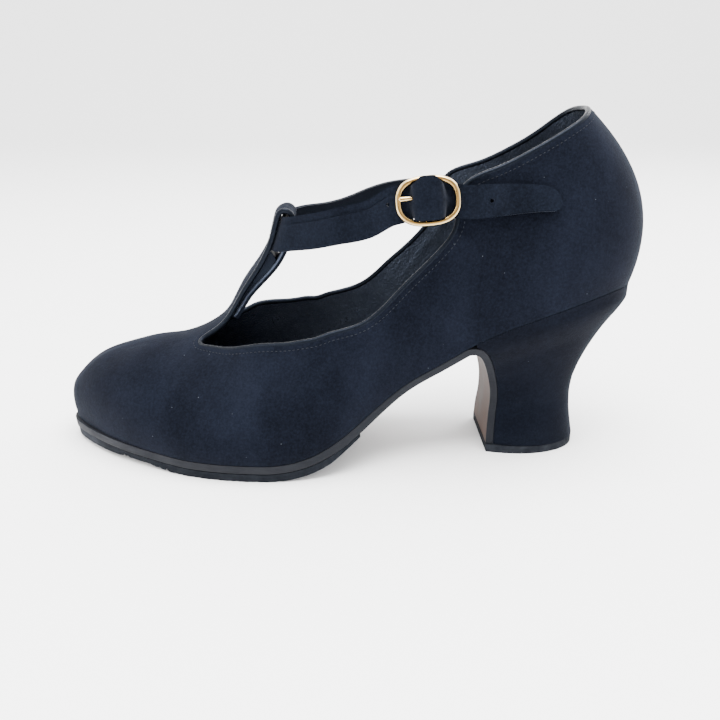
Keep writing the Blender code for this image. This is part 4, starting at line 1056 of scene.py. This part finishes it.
def heel_front(z):
    """How far forward the heel block reaches at a height, behind the sole's flap."""
    line = breast_line(BREAST_ROWS)
    line = line + line_normal(line) * GAP
    lip_x = line[0, 0] + HEEL_LIP
    below = line[line[:, 0] > lip_x][::-1]
    return np.where(z < below[-1, 1], np.interp(z, below[:, 1], below[:, 0]), lip_x)


def heel_net(levels):
    """Both sides of the heel block, as points by side, level and share from back to front corner."""
    draw_back = steady_spline(column(HEEL_LEVELS, 0), column(HEEL_LEVELS, 1))(levels)[:, None]
    draw_side = steady_spline(column(HEEL_LEVELS, 0), column(HEEL_LEVELS, 2))(levels)[:, None]
    front_station = station_at(LAST_BACK_X - HEEL_LENGTH - BREAST_REACH + HEEL_LIP)
    stations = np.linspace(0, front_station, HEEL_POINTS)
    foot_z = TOP_PIECE_THICK + GAP
    sides = []
    for side in (LATERAL, MEDIAL):
        seat = feather_edge(stations, side) - [0, 0, GAP]
        widest = np.abs(seat[:, 1]).max()
        along = (LAST_BACK_X - seat[:, 0]) / (LAST_BACK_X - seat[-1, 0])
        z = seat[:, 2] * (1 - levels[:, None]) + foot_z * levels[:, None]
        back = LAST_BACK_X - TOP_PIECE_SETBACK * draw_back
        x = back - (back - heel_front(z[:, -1:])) * along
        half = widest - (widest - TOP_PIECE_WIDTH / 2) * draw_side
        narrow = 1 - HEEL_FRONT_TAPER * np.minimum(levels[:, None] / HEEL_TAPER_LEVEL, 1) * along ** 4
        y = seat[:, 1] / widest * half * narrow
        sides.append(np.stack([x, y, z], -1))
    return sides


def sole_layer(stations, drop, thick, inset, flap=None):
    """Rails of a layer of the sole: its upper edges a drop below the sole's face, and its lower edges.

    The flap adds rows of x, z and the half widths to each side, behind the stations.
    """
    edge = feather_edge(stations, LATERAL)
    line = np.stack([edge[:, 0], edge[:, 2] - GAP], -1)
    widths = []
    for side in (LATERAL, MEDIAL):
        margin = TOE_MARGIN * np.interp(stations, MARGIN_STATIONS, (0, 1)) - inset
        out = plan_normal(stations, side)
        widths.append(feather_edge(stations, side)[:, :2] + out * margin[:, None])
    if flap is not None:
        line = np.concatenate([line, flap[:, :2]])
        for index in (0, 1):
            widths[index] = np.concatenate([widths[index], flap[:, [0, 2 + index]]])
        thick = np.concatenate([thick, np.full(len(flap), thick[-1])])
    down = -line_normal(line)
    top, base = [], []
    for side, width in zip((LATERAL, MEDIAL), widths):
        rail = stacked(width[:, 0], width[:, 1], line[:, 1])
        deep = stacked(down[:, 0], 0, down[:, 1])
        top.append(rail + deep * drop)
        bevel = stacked(0, side * EDGE_BEVEL, np.zeros(len(rail)))
        base.append(rail + deep * (drop + thick)[:, None] - bevel)
    return top, base


def sole_stations(last):
    """Stations from the toe's tip back to the last one, closer together round the toe."""
    return np.concatenate([np.linspace(1, SOLE_TOE_STATION, SOLE_TOE_ROWS),
                           np.linspace(SOLE_TOE_STATION, last, SOLE_ROWS)[1:]])


def sole_edge_material(name, dark, light, tan):
    """Sole leather: a dyed edge with faint layers in it and painted shade that darkens it from the toe back,
    and a bare tan underside with a dark border.
    """
    material, tree, shader = new_material(name)
    layers = noise(tree, place_on(tree, (0.12, 0.12, 1)), 1500, 4, 0.6)
    blotch = noise(tree, place_on(tree), 90, 4, 0.6)
    fine = noise(tree, place_on(tree), 2400, 3, 0.6)
    share = times(tree, spread(tree, layers, 0.3, 0.7, 0.3, 1.0), spread(tree, blotch, 0.3, 0.7, 0.6, 1.0))
    # Painted shade: the edge is drawn lightest at the toe's tip, darker back to the ball, and stays dark on
    # to the waist and down the heel's front.
    share = times(tree, share, spread(tree, mark(tree, "along"), 0.05, 0.45, 1.0, 0.35))
    bare = blend(tree, spread(tree, blotch, 0.3, 0.7), tan, [part * 0.62 for part in tan])
    below = spread(tree, mark(tree, "underside"), 0.45, 0.60)
    soft = raised(tree, layers, 0.35, 0.00015)
    feed(shader, {"Base Color": blend(tree, below, blend(tree, share, dark, light), bare),
                  "Roughness": spread(tree, blotch, 0.3, 0.7, 0.72, 0.58), "Specular IOR Level": 0.12,
                  "Normal": raised(tree, fine, 0.25, 0.00006, soft)})
    return material


SOLE_SHARES = np.concatenate([[0, 0.020, 0.040], np.linspace(0.08, 0.92, 13), [0.960, 0.980, 1]])
sole_leather = sole_edge_material("sole_leather", (0.0042, 0.0049, 0.0070), (0.0145, 0.0160, 0.0215),
                                  (0.078, 0.049, 0.039))
bend = breast_line(BREAST_ROWS)
stations = sole_stations(station_at(bend[0, 0]))
corners = [side[:, -1] for side in heel_net(np.linspace(0, 1, FLAP_LEVELS))]
flap = [(x, z, *(np.interp(z, corner[::-1, 2], corner[::-1, 1]) for corner in corners))
        for x, z in bend[1:]]
thick = np.interp(stations, WAIST_STATIONS, (OUTSOLE_WAIST_THICK, OUTSOLE_THICK))
top, base = sole_layer(stations, 0, thick, 0, np.array(flap))
outsole = add_slab("leather_sole", *top, *base, SOLE_SHARES, sole_leather)
round_edges(outsole, EDGE_ROUNDING)
outsole = baked(outsole)
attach(outsole, "root")
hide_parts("outsole")

# ---- Half sole: black rubber glued under the forefoot, with a shallow trough behind the toe, a fine
# ---- ribbed tread and a worn lower edge.

# The half sole. Columns: station, and thickness as a share of HALF_SOLE_THICK.
HALF_SOLE = [
    (0.489, 0.30),
    (0.505, 0.50),
    (0.525, 0.85),
    (0.560, 1.00),
    (0.700, 1.00),
    (0.745, 0.70),
    (0.775, 0.78),
    (0.820, 0.95),
    (0.880, 1.00),
    (1.000, 1.00),
]


def rubber_material(name, dark, light, rib):
    """Dull rubber with dust in its pores; with a rib width, ribbed underneath and scuffed by the toe."""
    material, tree, shader = new_material(name)
    where = place_on(tree)
    dust = noise(tree, where, 240, 5, 0.65)
    pores = noise(tree, where, 1900, 4, 0.7)
    colour = blend(tree, spread(tree, dust, 0.32, 0.72), dark, light)
    surface = raised(tree, pores, 0.5, 0.00016)
    if rib:
        by_toe = spread(tree, mark(tree, "along"), 0.28, 0.34, 1.0, 0.0)
        colour = blend(tree, by_toe, colour, (0.0190, 0.0210, 0.0265))
        ribbing = node(tree, "ShaderNodeTexWave", {"Vector": where, "Scale": 1 / rib, "Distortion": 0.0},
                       bands_direction="X").outputs["Fac"]
        surface = raised(tree, times(tree, ribbing, mark(tree, "underside")), 1.0, 0.0004, surface)
    feed(shader, {"Base Color": colour, "Roughness": spread(tree, dust, 0.3, 0.7, 0.92, 0.78),
                  "Specular IOR Level": 0.08, "Normal": surface})
    return material


tread_rubber = rubber_material("tread_rubber", (0.0036, 0.0046, 0.0068), (0.0088, 0.0104, 0.0138),
                               rib=0.006)
# The lower edge is worn in two waves, between stations at the waist and the toe, and nicked.
WORN_EDGE_DEPTH = 0.00025
WORN_WAVES = (410, 133)
WORN_STATIONS = (0.5, 0.6, 0.78, 0.82)
NICKS = (-0.0905, -0.0890, -0.0715)
NICK_DEPTH = 0.0010
NICK_WIDTH = 0.0004
HALF_SOLE_ROUNDING = 0.0003
stations = sole_stations(HALF_SOLE[0][0])
share = steady_spline(column(HALF_SOLE, 0), column(HALF_SOLE, 1))(stations)
top, base = sole_layer(stations, GAP + OUTSOLE_THICK, HALF_SOLE_THICK * share, EDGE_BEVEL)
worn = WORN_EDGE_DEPTH * np.abs(np.sin(stations * WORN_WAVES[0]) * np.sin(stations * WORN_WAVES[1] + 1))
worn = worn * np.interp(stations, WORN_STATIONS, (0, 1, 1, 0))
nicks = sum(NICK_DEPTH * np.exp(-((base[0][:, 0] - place) / NICK_WIDTH) ** 2) for place in NICKS)
base = [base[0] + stacked(0, 0, worn + nicks), base[1] + stacked(0, 0, worn)]
half_sole = add_slab("rubber_half_sole", *top, *base, SOLE_SHARES, tread_rubber)
round_edges(half_sole, HALF_SOLE_ROUNDING)
half_sole = baked(half_sole)
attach(half_sole, "root")
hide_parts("half_sole")

# ---- Heel: a plastic block covered in the upper's suede, wrapped from behind, with its edges turned
# ---- under the seat, the sole's flap and the top piece.
HEEL_ROWS = 72
heel_suede = suede_material("heel_suede_nap", (0.0007, 0.0010, 0.0021), (0.0039, 0.0052, 0.0093),
                            lint=0.05)
outer, inner = heel_net(np.linspace(0, 1, HEEL_ROWS))
heel = add_loops("suede_heel", np.concatenate([outer[:, ::-1], inner[:, 1:]], axis=1), heel_suede)
round_edges(heel, EDGE_ROUNDING)
heel = baked(heel)
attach(heel, "root")
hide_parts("heel")

# ---- Top piece: the hard rubber walking piece pinned under the heel, trimmed flush with it and a little
# ---- greyer than the cover.
top_rubber = rubber_material("top_piece_rubber", (0.0050, 0.0060, 0.0085), (0.0150, 0.0170, 0.0215),
                             rib=0)
back = LAST_BACK_X - TOP_PIECE_SETBACK
front = float(breast_line(BREAST_ROWS)[-1, 0]) - OUTSOLE_WAIST_THICK
rails = []
for rail in heel_net(np.array([1.0])):
    share = (back - rail[0, :, 0]) / (back - rail[0, -1, 0])
    rails.append(stacked(back - (back - front) * share, rail[0, :, 1], 0))
top = [rail + [0, 0, TOP_PIECE_THICK] for rail in rails]
top_piece = add_slab("rubber_top_piece", *top, *rails, np.linspace(0, 1, 9), top_rubber)
round_edges(top_piece, EDGE_ROUNDING)
top_piece = baked(top_piece)
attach(top_piece, "root")
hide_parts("top_piece")

# ---- Instep strap: suede backed with leather, stitched inside the inner quarter, run through the T-bar's
# ---- fold and the buckle to a round tip. Its tail is punched with small round holes.
STRAP_WIDTH = 0.0138
RING_LENGTH = 0.0231
RING_HEIGHT = 0.0176
RING_WIRE_RADIUS = 0.0011
RING_TILT = math.radians(5.0)
BAR_WIRE_RADIUS = 0.0009
PRONG_RADIUS = 0.0008
TAB_WIDTH = 0.0090
TAB_THICK = 0.0011

# Where the buckle hangs: the station and height on the quarter behind it, its clearance ahead of that
# place, its lift, and how square its oval is.
BUCKLE_WING = (0.360, 0.800)
BUCKLE_AHEAD = 0.0012
BUCKLE_LIFT = 0.0031
RING_SQUARENESS = 2.6

# The strap, from its stitched end on the inner quarter. Columns: station and height on the quarter.
STRAP_ANCHOR = [
    (0.305, 0.675),
    (0.335, 0.728),
    (0.360, 0.764),
]
# Its free runs, from the T-bar to the inner quarter and to the buckle. Columns: share of the straight
# way there, then how far it swings out and up from it, as shares of that way.
STRAP_INNER_RUN = [
    (0.832, 0.041, 0.014),
    (0.671, 0.089, 0.025),
    (0.510, 0.121, 0.014),
    (0.348, 0.143, -0.012),
    (0.202, 0.143, -0.010),
    (0.085, 0.128, 0.002),
]
STRAP_BAR_STATION = 0.5180
STRAP_FOOT_STATION = 0.5400
STRAP_OUTER_RUN = [
    (0.147, 0.167, -0.014),
    (0.344, 0.157, -0.030),
    (0.575, 0.119, -0.038),
    (0.806, 0.058, -0.040),
]
# Through the ring. Columns: place along the ring's half length, depth from under the ring (0) to
# over its bar (1), lift and half width as shares of STRAP_WIDTH, and how far the edges bend in, as a
# share of STRAP_THICK.
STRAP_IN_RING = [
    (-0.95, 0.00, -0.030, 0.500, 0.05),
    (-0.80, 0.00, -0.015, 0.495, 0.20),
    (-0.70, 0.07, 0.000, 0.455, 0.45),
    (-0.58, 0.25, 0.000, 0.415, 0.90),
    (-0.46, 0.56, -0.003, 0.402, 0.40),
    (-0.35, 0.86, 0.002, 0.475, 0.00),
    (-0.20, 0.97, 0.058, 0.549, 0.00),
    (0.00, 1.00, 0.062, 0.559, 0.00),
    (0.20, 0.97, 0.058, 0.549, 0.00),
    (0.35, 0.86, 0.004, 0.463, 0.10),
    (0.46, 0.56, -0.003, 0.386, 0.40),
    (0.58, 0.25, -0.015, 0.400, 0.90),
    (0.70, 0.07, -0.030, 0.430, 0.45),
    (0.80, 0.00, -0.050, 0.440, 0.15),
    (0.95, 0.00, -0.080, 0.440, 0.00),
]
# The tail on the outer quarter. Columns: station, height, half width as a share of STRAP_WIDTH, and 1
# where the tab lies below.
STRAP_TAIL = [
    (0.350, 0.806, 0.430, 1.0),
    (0.338, 0.787, 0.425, 1.0),
    (0.326, 0.766, 0.415, 1.0),
    (0.312, 0.741, 0.400, 0.3),
    (0.290, 0.700, 0.375, 0.0),
    (0.262, 0.645, 0.340, 0.0),
    (0.236, 0.590, 0.300, 0.0),
]
STRAP_END_RADIUS = 0.0042
STRAP_ROWS = (150, 150, 56)
STRAP_TIP_ROWS = 14
STRAP_ACROSS = 25
STRAP_ACROSS_SHARES = np.linspace(-1, 1, STRAP_ACROSS)
# The line creased into the suede: its place and width across the strap as shares of the half width,
# its depth, and where it fades in and out, from the buckle's near end.
CREASE_PLACE = 0.56
CREASE_WIDTH = 0.07
CREASE_DEPTH = 0.00055
CREASE_RUN = (-0.050, -0.042, -0.005, 0.0)
PUNCH_REACH = 0.003
ROUND_SIDES = 20
STRAP_LINING_THICK = 0.0006
STRAP_SEAM = 0.00004
# Punched holes: how far each is from the buckle's near end, and its place across the strap.
HOLES = [(-0.0036, 0.18), (0.0266, 0.0), (0.0389, 0.0)]
HOLE_RADIUS = 0.0007

# The prong, as shares of the way from the middle bar to its tip. Columns: share, and how far it has
# risen from the bar's middle to the ring's face.
PRONG = [
    (0.00, 0.10),
    (0.25, 0.36),
    (0.50, 0.62),
    (0.80, 0.92),
    (1.00, 1.00),
]
PRONG_LIFT = 0.0013


def quarter_point(station, height, side, depth):
    """A point off the quarter's face, and the direction up the face."""
    reach = 0.01
    point = last_surface(station, height, side) + surface_normal(station, height, side) * depth
    up = unit(last_surface(station, height + reach, side) - last_surface(station, height - reach, side))
    return point, up


def ring_axes():
    """The buckle's middle and its directions along the strap, up and out of the shoe."""
    wing, up = quarter_point(*BUCKLE_WING, LATERAL, 0)
    along = np.array([math.cos(RING_TILT), 0, math.sin(RING_TILT)])
    out = unit(np.cross(along, up))
    up = np.cross(out, along)
    stack = 3 * GAP + TAB_THICK + STRAP_THICK + RING_WIRE_RADIUS
    ahead = RING_LENGTH / 2 + BUCKLE_AHEAD
    return wing + out * stack - along * ahead + up * BUCKLE_LIFT, along, up, out


def ring_depths():
    """Depths of the strap's middle where it runs under the ring and over its bar."""
    return (-(RING_WIRE_RADIUS + GAP + STRAP_THICK / 2),
            BAR_WIRE_RADIUS + TAB_THICK + 2 * GAP + STRAP_THICK / 2)


def free_run(rows, start, end, side):
    """Points that swing out from the straight way between two places."""
    way = end - start
    length = np.linalg.norm(way)
    return [start + way * share + length * np.array([0, side * swing, rise]) for share, swing, rise in rows]


def strap_rows():
    """The strap's middle line, its up direction, half width and edge bend, from inner end to tip."""
    on_quarter = 1.5 * GAP + STRAP_THICK / 2
    wide = STRAP_WIDTH / 2
    rows = [(*quarter_point(station, height, MEDIAL, on_quarter), wide, 0)
            for station, height in STRAP_ANCHOR]
    edge = float(bar_height(STRAP_BAR_STATION))
    rise = unit((profile_top(T_BAR[-1][0], MEDIAL) - profile_top(STRAP_FOOT_STATION, MEDIAL)) * [1, 0, 1])
    behind = np.array([rise[2], 0, -rise[0]]) * FOLD_DEPTH / 2
    loop = [last_surface(STRAP_BAR_STATION, height, side) + behind
            for side, height in ((MEDIAL, edge), (MEDIAL, 1.0), (LATERAL, edge))]
    loop = [place + rise * (loop[1][2] - place[2]) / rise[2] for place in loop]
    middle, along, up, out = ring_axes()
    low, high = ring_depths()
    ring = []
    for ahead, share, lift, width, bend in STRAP_IN_RING:
        place = middle + along * ahead * RING_LENGTH / 2 + out * (low + (high - low) * share)
        ring.append((place + up * lift * STRAP_WIDTH, up, width * STRAP_WIDTH, bend * STRAP_THICK))
    rows += [(place, None, wide, 0) for place in free_run(STRAP_INNER_RUN, loop[1], rows[-1][0], MEDIAL)]
    rows += [(place, rise, wide, 0) for place in loop]
    rows += [(place, None, wide, 0) for place in free_run(STRAP_OUTER_RUN, loop[1], ring[0][0], LATERAL)]
    rows += ring
    for station, height, width, tab_below in STRAP_TAIL:
        depth = on_quarter + (GAP + TAB_THICK) * tab_below
        rows.append((*quarter_point(station, height, LATERAL, depth), width * STRAP_WIDTH, 0))
    return rows


def strap_net():
    """Rows of points along the strap, their outward directions, and how far each is past the buckle's
    near end."""
    rows = strap_rows()
    middles = np.array([row[0] for row in rows])
    length = run_length(middles)
    known = [index for index, row in enumerate(rows) if row[1] is not None]
    ups = np.stack([np.interp(length, length[known], [rows[index][1][axis] for index in known])
                    for axis in range(3)], -1)
    tail_start = len(rows) - len(STRAP_TAIL)
    marks = [0, length[tail_start - len(STRAP_IN_RING)], length[tail_start], length[-1] - STRAP_END_RADIUS]
    steps = [np.linspace(*ends, count, endpoint=False) for *ends, count in zip(marks, marks[1:], STRAP_ROWS)]
    round_tip = length[-1] - STRAP_END_RADIUS * (1 - np.sin(np.linspace(0, np.pi / 2, STRAP_TIP_ROWS)))
    steps = np.concatenate([*steps, round_tip])
    table = np.column_stack([middles, ups])
    middle, up = (np.stack([natural_spline(length, table[:, axis])(steps) for axis in axes], -1)
                  for axes in ((0, 1, 2), (3, 4, 5)))
    up = unit(up)
    width, bend = (steady_spline(length, [row[index] for row in rows])(steps) for index in (2, 3))
    width = width * round_end((length[-1] - steps) / STRAP_END_RADIUS, 0.004)
    out = unit(np.cross(np.gradient(middle, axis=0), up))
    up, width, bend = up[:, None], width[:, None, None], bend[:, None, None]
    across = STRAP_ACROSS_SHARES[None, :, None]
    net = middle[:, None] + up * width * across - out[:, None] * bend * np.abs(across)
    return net, out, steps - marks[1]


def prong_line():
    """The prong's middle line, from the middle bar to its tip on the ring's toe side."""
    middle, along, up, out = ring_axes()
    root = BAR_WIRE_RADIUS + GAP
    tip = RING_LENGTH / 2 - RING_WIRE_RADIUS
    rest = RING_WIRE_RADIUS + GAP + PRONG_RADIUS
    return [middle + up * PRONG_LIFT - along * (root + (tip - root) * share) + out * rest * rise
            for share, rise in PRONG]


net, strap_out, strap_steps = strap_net()
strap_suede_nap = suede_material("strap_suede_nap", (0.0010, 0.0015, 0.0030), (0.0060, 0.0080, 0.0138),
                                 lint=0.12)
strap_backing = leather_material("strap_backing_leather", (0.0026, 0.0033, 0.0050), (0.0078, 0.0092, 0.0130),
                                 rough=0.50, grain_size=0.0007, depth=0.00010, shine=0.10)
cutters = [(prong_line(), PRONG_RADIUS + GAP)]
for along_strap, across_strap in HOLES:
    row = int(np.argmin(np.abs(strap_steps - along_strap)))
    col = int(np.argmin(np.abs(STRAP_ACROSS_SHARES - across_strap)))
    centre, reach = net[row, col], strap_out[row] * PUNCH_REACH
    cutters.append(([centre - reach, centre, centre + reach], HOLE_RADIUS))


def strap_layer(name, centre_shift, thickness, material, crease=0.0):
    """One layer of the strap with a line creased into it and its holes punched."""
    pressed = crease * np.exp(-((STRAP_ACROSS_SHARES - CREASE_PLACE) / CREASE_WIDTH) ** 2)
    pressed = pressed[None, :, None] * np.interp(strap_steps, CREASE_RUN, (0, 1, 1, 0))[:, None, None]
    places = (net + strap_out[:, None] * (centre_shift - pressed)).reshape(-1, 3)
    layer = add_mesh(name, places, grid_faces(len(net), STRAP_ACROSS), material, closed=False)
    give_thickness(layer, thickness, 0)
    punches = [tube_mesh("punch", line, radius, ROUND_SIDES, material) for line, radius in cutters]
    layer = combined(baked(layer), "DIFFERENCE", punches)
    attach(layer, "root")
    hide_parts("instep_strap")
    return layer


suede_part = STRAP_THICK - STRAP_LINING_THICK - STRAP_SEAM
strap_outer = strap_layer("strap_suede", (STRAP_THICK - suede_part) / 2, suede_part, strap_suede_nap,
                          CREASE_DEPTH)
strap_inner = strap_layer("strap_backing", (STRAP_LINING_THICK - STRAP_THICK) / 2, STRAP_LINING_THICK,
                          strap_backing)

# ---- Buckle: an oval frame of polished gold-plated wire with a soldered middle bar, and a short prong
# ---- of the same wire that pivots on the bar and lies on the frame's toe side.
WIRE_SIDES = 24
WIRE_STEP = 0.0005
PRONG_STEP = 0.0004
OVAL_SAMPLES = 2400


def plated_material(name, colour, painted_dark_reflection, rough):
    """Polished plating with hair scratches and slightly dull handling marks, bright towards the wire's sides,
    with a painted dark reflection down the middle where the wire faces the camera.
    """
    material, tree, shader = new_material(name)
    where = place_on(tree)
    marks = noise(tree, where, 420, 4, 0.6)
    hairs = noise(tree, place_on(tree, (0.15, 1, 1)), 5200, 3, 0.6)
    # Painted reflection: the colour turns from the bright plating to a dark one where the surface faces the
    # camera, which paints a dark line down each wire.
    facing = node(tree, "ShaderNodeLayerWeight", {"Blend": 0.5}).outputs["Facing"]
    bright = blend(tree, spread(tree, marks, 0.3, 0.75), colour, [part * 0.80 for part in colour])
    feed(shader, {"Base Color": blend(tree, spread(tree, facing, 0.06, 0.34), painted_dark_reflection, bright),
                  "Metallic": 1.0, "Roughness": spread(tree, marks, 0.3, 0.7, rough, rough + 0.10),
                  "Normal": raised(tree, hairs, 0.08, 0.00003)})
    return material


# The second colour is the painted dark reflection down the middle of each wire.
gold = plated_material("gold_plating", (0.93, 0.72, 0.38), (0.26, 0.155, 0.050), rough=0.10)
middle, along, up, out = ring_axes()
half_long = RING_LENGTH / 2 - RING_WIRE_RADIUS
half_high = RING_HEIGHT / 2 - RING_WIRE_RADIUS
angles = np.linspace(0, 2 * np.pi, OVAL_SAMPLES, endpoint=False)
ahead, rise = (half * np.sign(part) * np.abs(part) ** (2 / RING_SQUARENESS)
               for half, part in ((half_long, np.cos(angles)), (half_high, np.sin(angles))))
oval = middle + along * ahead[:, None] + up * rise[:, None]
oval = smooth_run(np.concatenate([oval, oval[:1]]), WIRE_STEP)[:-1]
ring = tube_mesh("gold_buckle_frame", oval, RING_WIRE_RADIUS, WIRE_SIDES, gold, cyclic=True)
bar = tube_mesh("middle_bar", [middle - up * half_high, middle, middle + up * half_high],
                BAR_WIRE_RADIUS, ROUND_SIDES, gold)
ring = combined(ring, "UNION", [bar])
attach(ring, "root")
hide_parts("buckle_frame")

prong_path = smooth_run(np.array(prong_line()), PRONG_STEP)
from_tip = run_length(prong_path)[-1] - run_length(prong_path)
prong_radii = PRONG_RADIUS * round_end(from_tip / PRONG_RADIUS, 0.05)
prong = tube_mesh("gold_prong", prong_path, prong_radii, ROUND_SIDES, gold)
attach(prong, "root")
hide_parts("buckle_prong")

# ---- Buckle tab: a narrow leather strip folded round the middle bar, slotted for the prong, with both
# ---- legs stitched to the outer quarter.

# The leg behind the ring. Columns: place ahead of the middle bar and depth behind it, as shares of the
# ring's half length.
TAB_HIDDEN_LEG = [
    (0.61, 0.520),
    (0.40, 0.470),
    (0.21, 0.364),
    (0.05, 0.225),
]
# The other leg, on the quarter. Columns: station and height.
TAB_ON_QUARTER = [
    (0.352, 0.806),
    (0.345, 0.796),
    (0.337, 0.783),
]
TAB_FOLD_ANGLES = (240, 90)
TAB_FOLD_ROWS = 16
TAB_ACROSS = 5
half = RING_LENGTH / 2
line = [(middle + along * half * ahead - out * half * depth, up) for ahead, depth in TAB_HIDDEN_LEG]
wrap = BAR_WIRE_RADIUS + GAP + TAB_THICK / 2
for angle in np.radians(np.linspace(*TAB_FOLD_ANGLES, TAB_FOLD_ROWS)):
    line.append((middle + along * wrap * math.cos(angle) + out * wrap * math.sin(angle), up))
low, high = ring_depths()
rows = [row for row in STRAP_IN_RING if row[0] >= 0]
path = np.array([(ahead * half, low + (high - low) * share) for ahead, share, *_ in rows])
way = unit(np.gradient(path, axis=0))
for (x, depth), (along_x, along_depth), row in list(zip(path, way, rows))[1:]:
    at_tab_edge = row[4] * STRAP_THICK * TAB_WIDTH / (2 * row[3] * STRAP_WIDTH)
    room = 2 * GAP if row[4] > 0 else GAP
    under = STRAP_THICK / 2 + room + TAB_THICK / 2 + at_tab_edge
    line.append((middle + along * (x + along_depth * under) + out * (depth - along_x * under), up))
for station, height in TAB_ON_QUARTER:
    line.append(quarter_point(station, height, LATERAL, GAP + TAB_THICK / 2))
points = [place + lean * TAB_WIDTH / 2 * share
          for place, lean in line for share in np.linspace(-1, 1, TAB_ACROSS)]
faces = grid_faces(len(line), TAB_ACROSS)
tab = add_mesh("buckle_tab_leather", points, faces, strap_backing, closed=False)
give_thickness(tab, TAB_THICK, 0)
tab.modifiers["Thickness"].use_even_offset = True
tab = baked(tab)
slot_middle = middle + up * PRONG_LIFT
slot = tube_mesh("tab_slot", [slot_middle - along * 2 * wrap, slot_middle, slot_middle + along * wrap],
                 PRONG_RADIUS + 3 * GAP, ROUND_SIDES, strap_backing)
tab = combined(tab, "DIFFERENCE", [slot])
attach(tab, "root")
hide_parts("buckle_tab")

# ---- Studio: a plain white floor under broad soft light, and the camera at the photograph's angle.
FLOOR_REACH = 4.0
SWEEP_START = 1.5
SWEEP_RADIUS = 1.0
turns = np.linspace(0, np.pi / 2, 25)
run = [(-FLOOR_REACH, 0.0)]
run += [(SWEEP_START + SWEEP_RADIUS * np.sin(turn), SWEEP_RADIUS * (1 - np.cos(turn))) for turn in turns]
run += [(SWEEP_START + SWEEP_RADIUS, FLOOR_REACH)]
floor_points = [(x, y, z) for y, z in run for x in (-FLOOR_REACH, FLOOR_REACH)]
floor_mesh = bpy.data.meshes.new("floor")
floor_mesh.from_pydata(floor_points, [], grid_faces(len(run), 2))
floor_material, _, shader = new_material("white_floor")
feed(shader, {"Base Color": (0.97, 0.97, 0.97, 1), "Roughness": 0.7})
floor = finished("floor", floor_mesh, floor_material)

world = bpy.data.worlds.new("studio")
world.use_nodes = True
feed(world.node_tree.nodes["Background"], {"Color": (1.0, 1.0, 1.0, 1), "Strength": 2.9})
bpy.context.scene.world = world

# Soft lights: name, place, where each points, size and power in watts.
LIGHTS = [
    ("overhead", (0.05, -0.15, 1.20), (0.0, 0.0, 0.05), 1.00, 52.0),
    ("left", (-0.95, -0.55, 0.75), (0.0, 0.0, 0.06), 0.60, 8.0),
    ("right_back", (0.80, 0.55, 0.85), (0.0, 0.0, 0.07), 0.60, 9.0),
]
for name, place, aim, size, power in LIGHTS:
    lamp = bpy.data.lights.new(name, "AREA")
    lamp.size = size
    lamp.energy = power
    light = bpy.data.objects.new(name, lamp)
    light.location = place
    light.rotation_euler = (Vector(aim) - Vector(place)).to_track_quat("-Z", "Y").to_euler()
    bpy.context.scene.collection.objects.link(light)

# Two dark cards that the camera doesn't see, which put dark lines into the polished wire: name, place,
# width and height.
CARDS = [
    ("front_card", (0.0, -0.62, 0.46), 1.00, 0.16),
    ("low_card", (0.0, -0.55, 0.10), 1.00, 0.10),
]
card_material, _, shader = new_material("black_card")
feed(shader, {"Base Color": (0.004, 0.004, 0.004, 1), "Roughness": 0.9})
for name, place, wide, high in CARDS:
    corners = [(x * wide / 2, y * high / 2, 0) for x, y in ((-1, -1), (1, -1), (1, 1), (-1, 1))]
    turn = (Vector((0.0, 0.0, 0.08)) - Vector(place)).to_track_quat("-Z", "Y")
    card_mesh = bpy.data.meshes.new(name)
    card_mesh.from_pydata([turn @ Vector(corner) + Vector(place) for corner in corners], [], [(0, 1, 2, 3)])
    card = finished(name, card_mesh, card_material)
    card.visible_camera = False
    card.visible_shadow = False
    card.visible_diffuse = False

# The camera: its place, how far it looks down and aside in degrees, and its lens in millimetres.
CAMERA_PLACE = (0.000486, -0.312635, 0.145347)
CAMERA_DOWN = 19.5
CAMERA_ASIDE = -1.0
CAMERA_LENS = 40.25
lens = bpy.data.cameras.new("camera")
lens.sensor_width = 36.0
lens.lens = CAMERA_LENS
lens.clip_start = 0.01
camera = bpy.data.objects.new("camera", lens)
camera.location = CAMERA_PLACE
camera.rotation_euler = (math.radians(90 - CAMERA_DOWN), 0.0, math.radians(CAMERA_ASIDE))
bpy.context.scene.collection.objects.link(camera)
bpy.context.scene.camera = camera
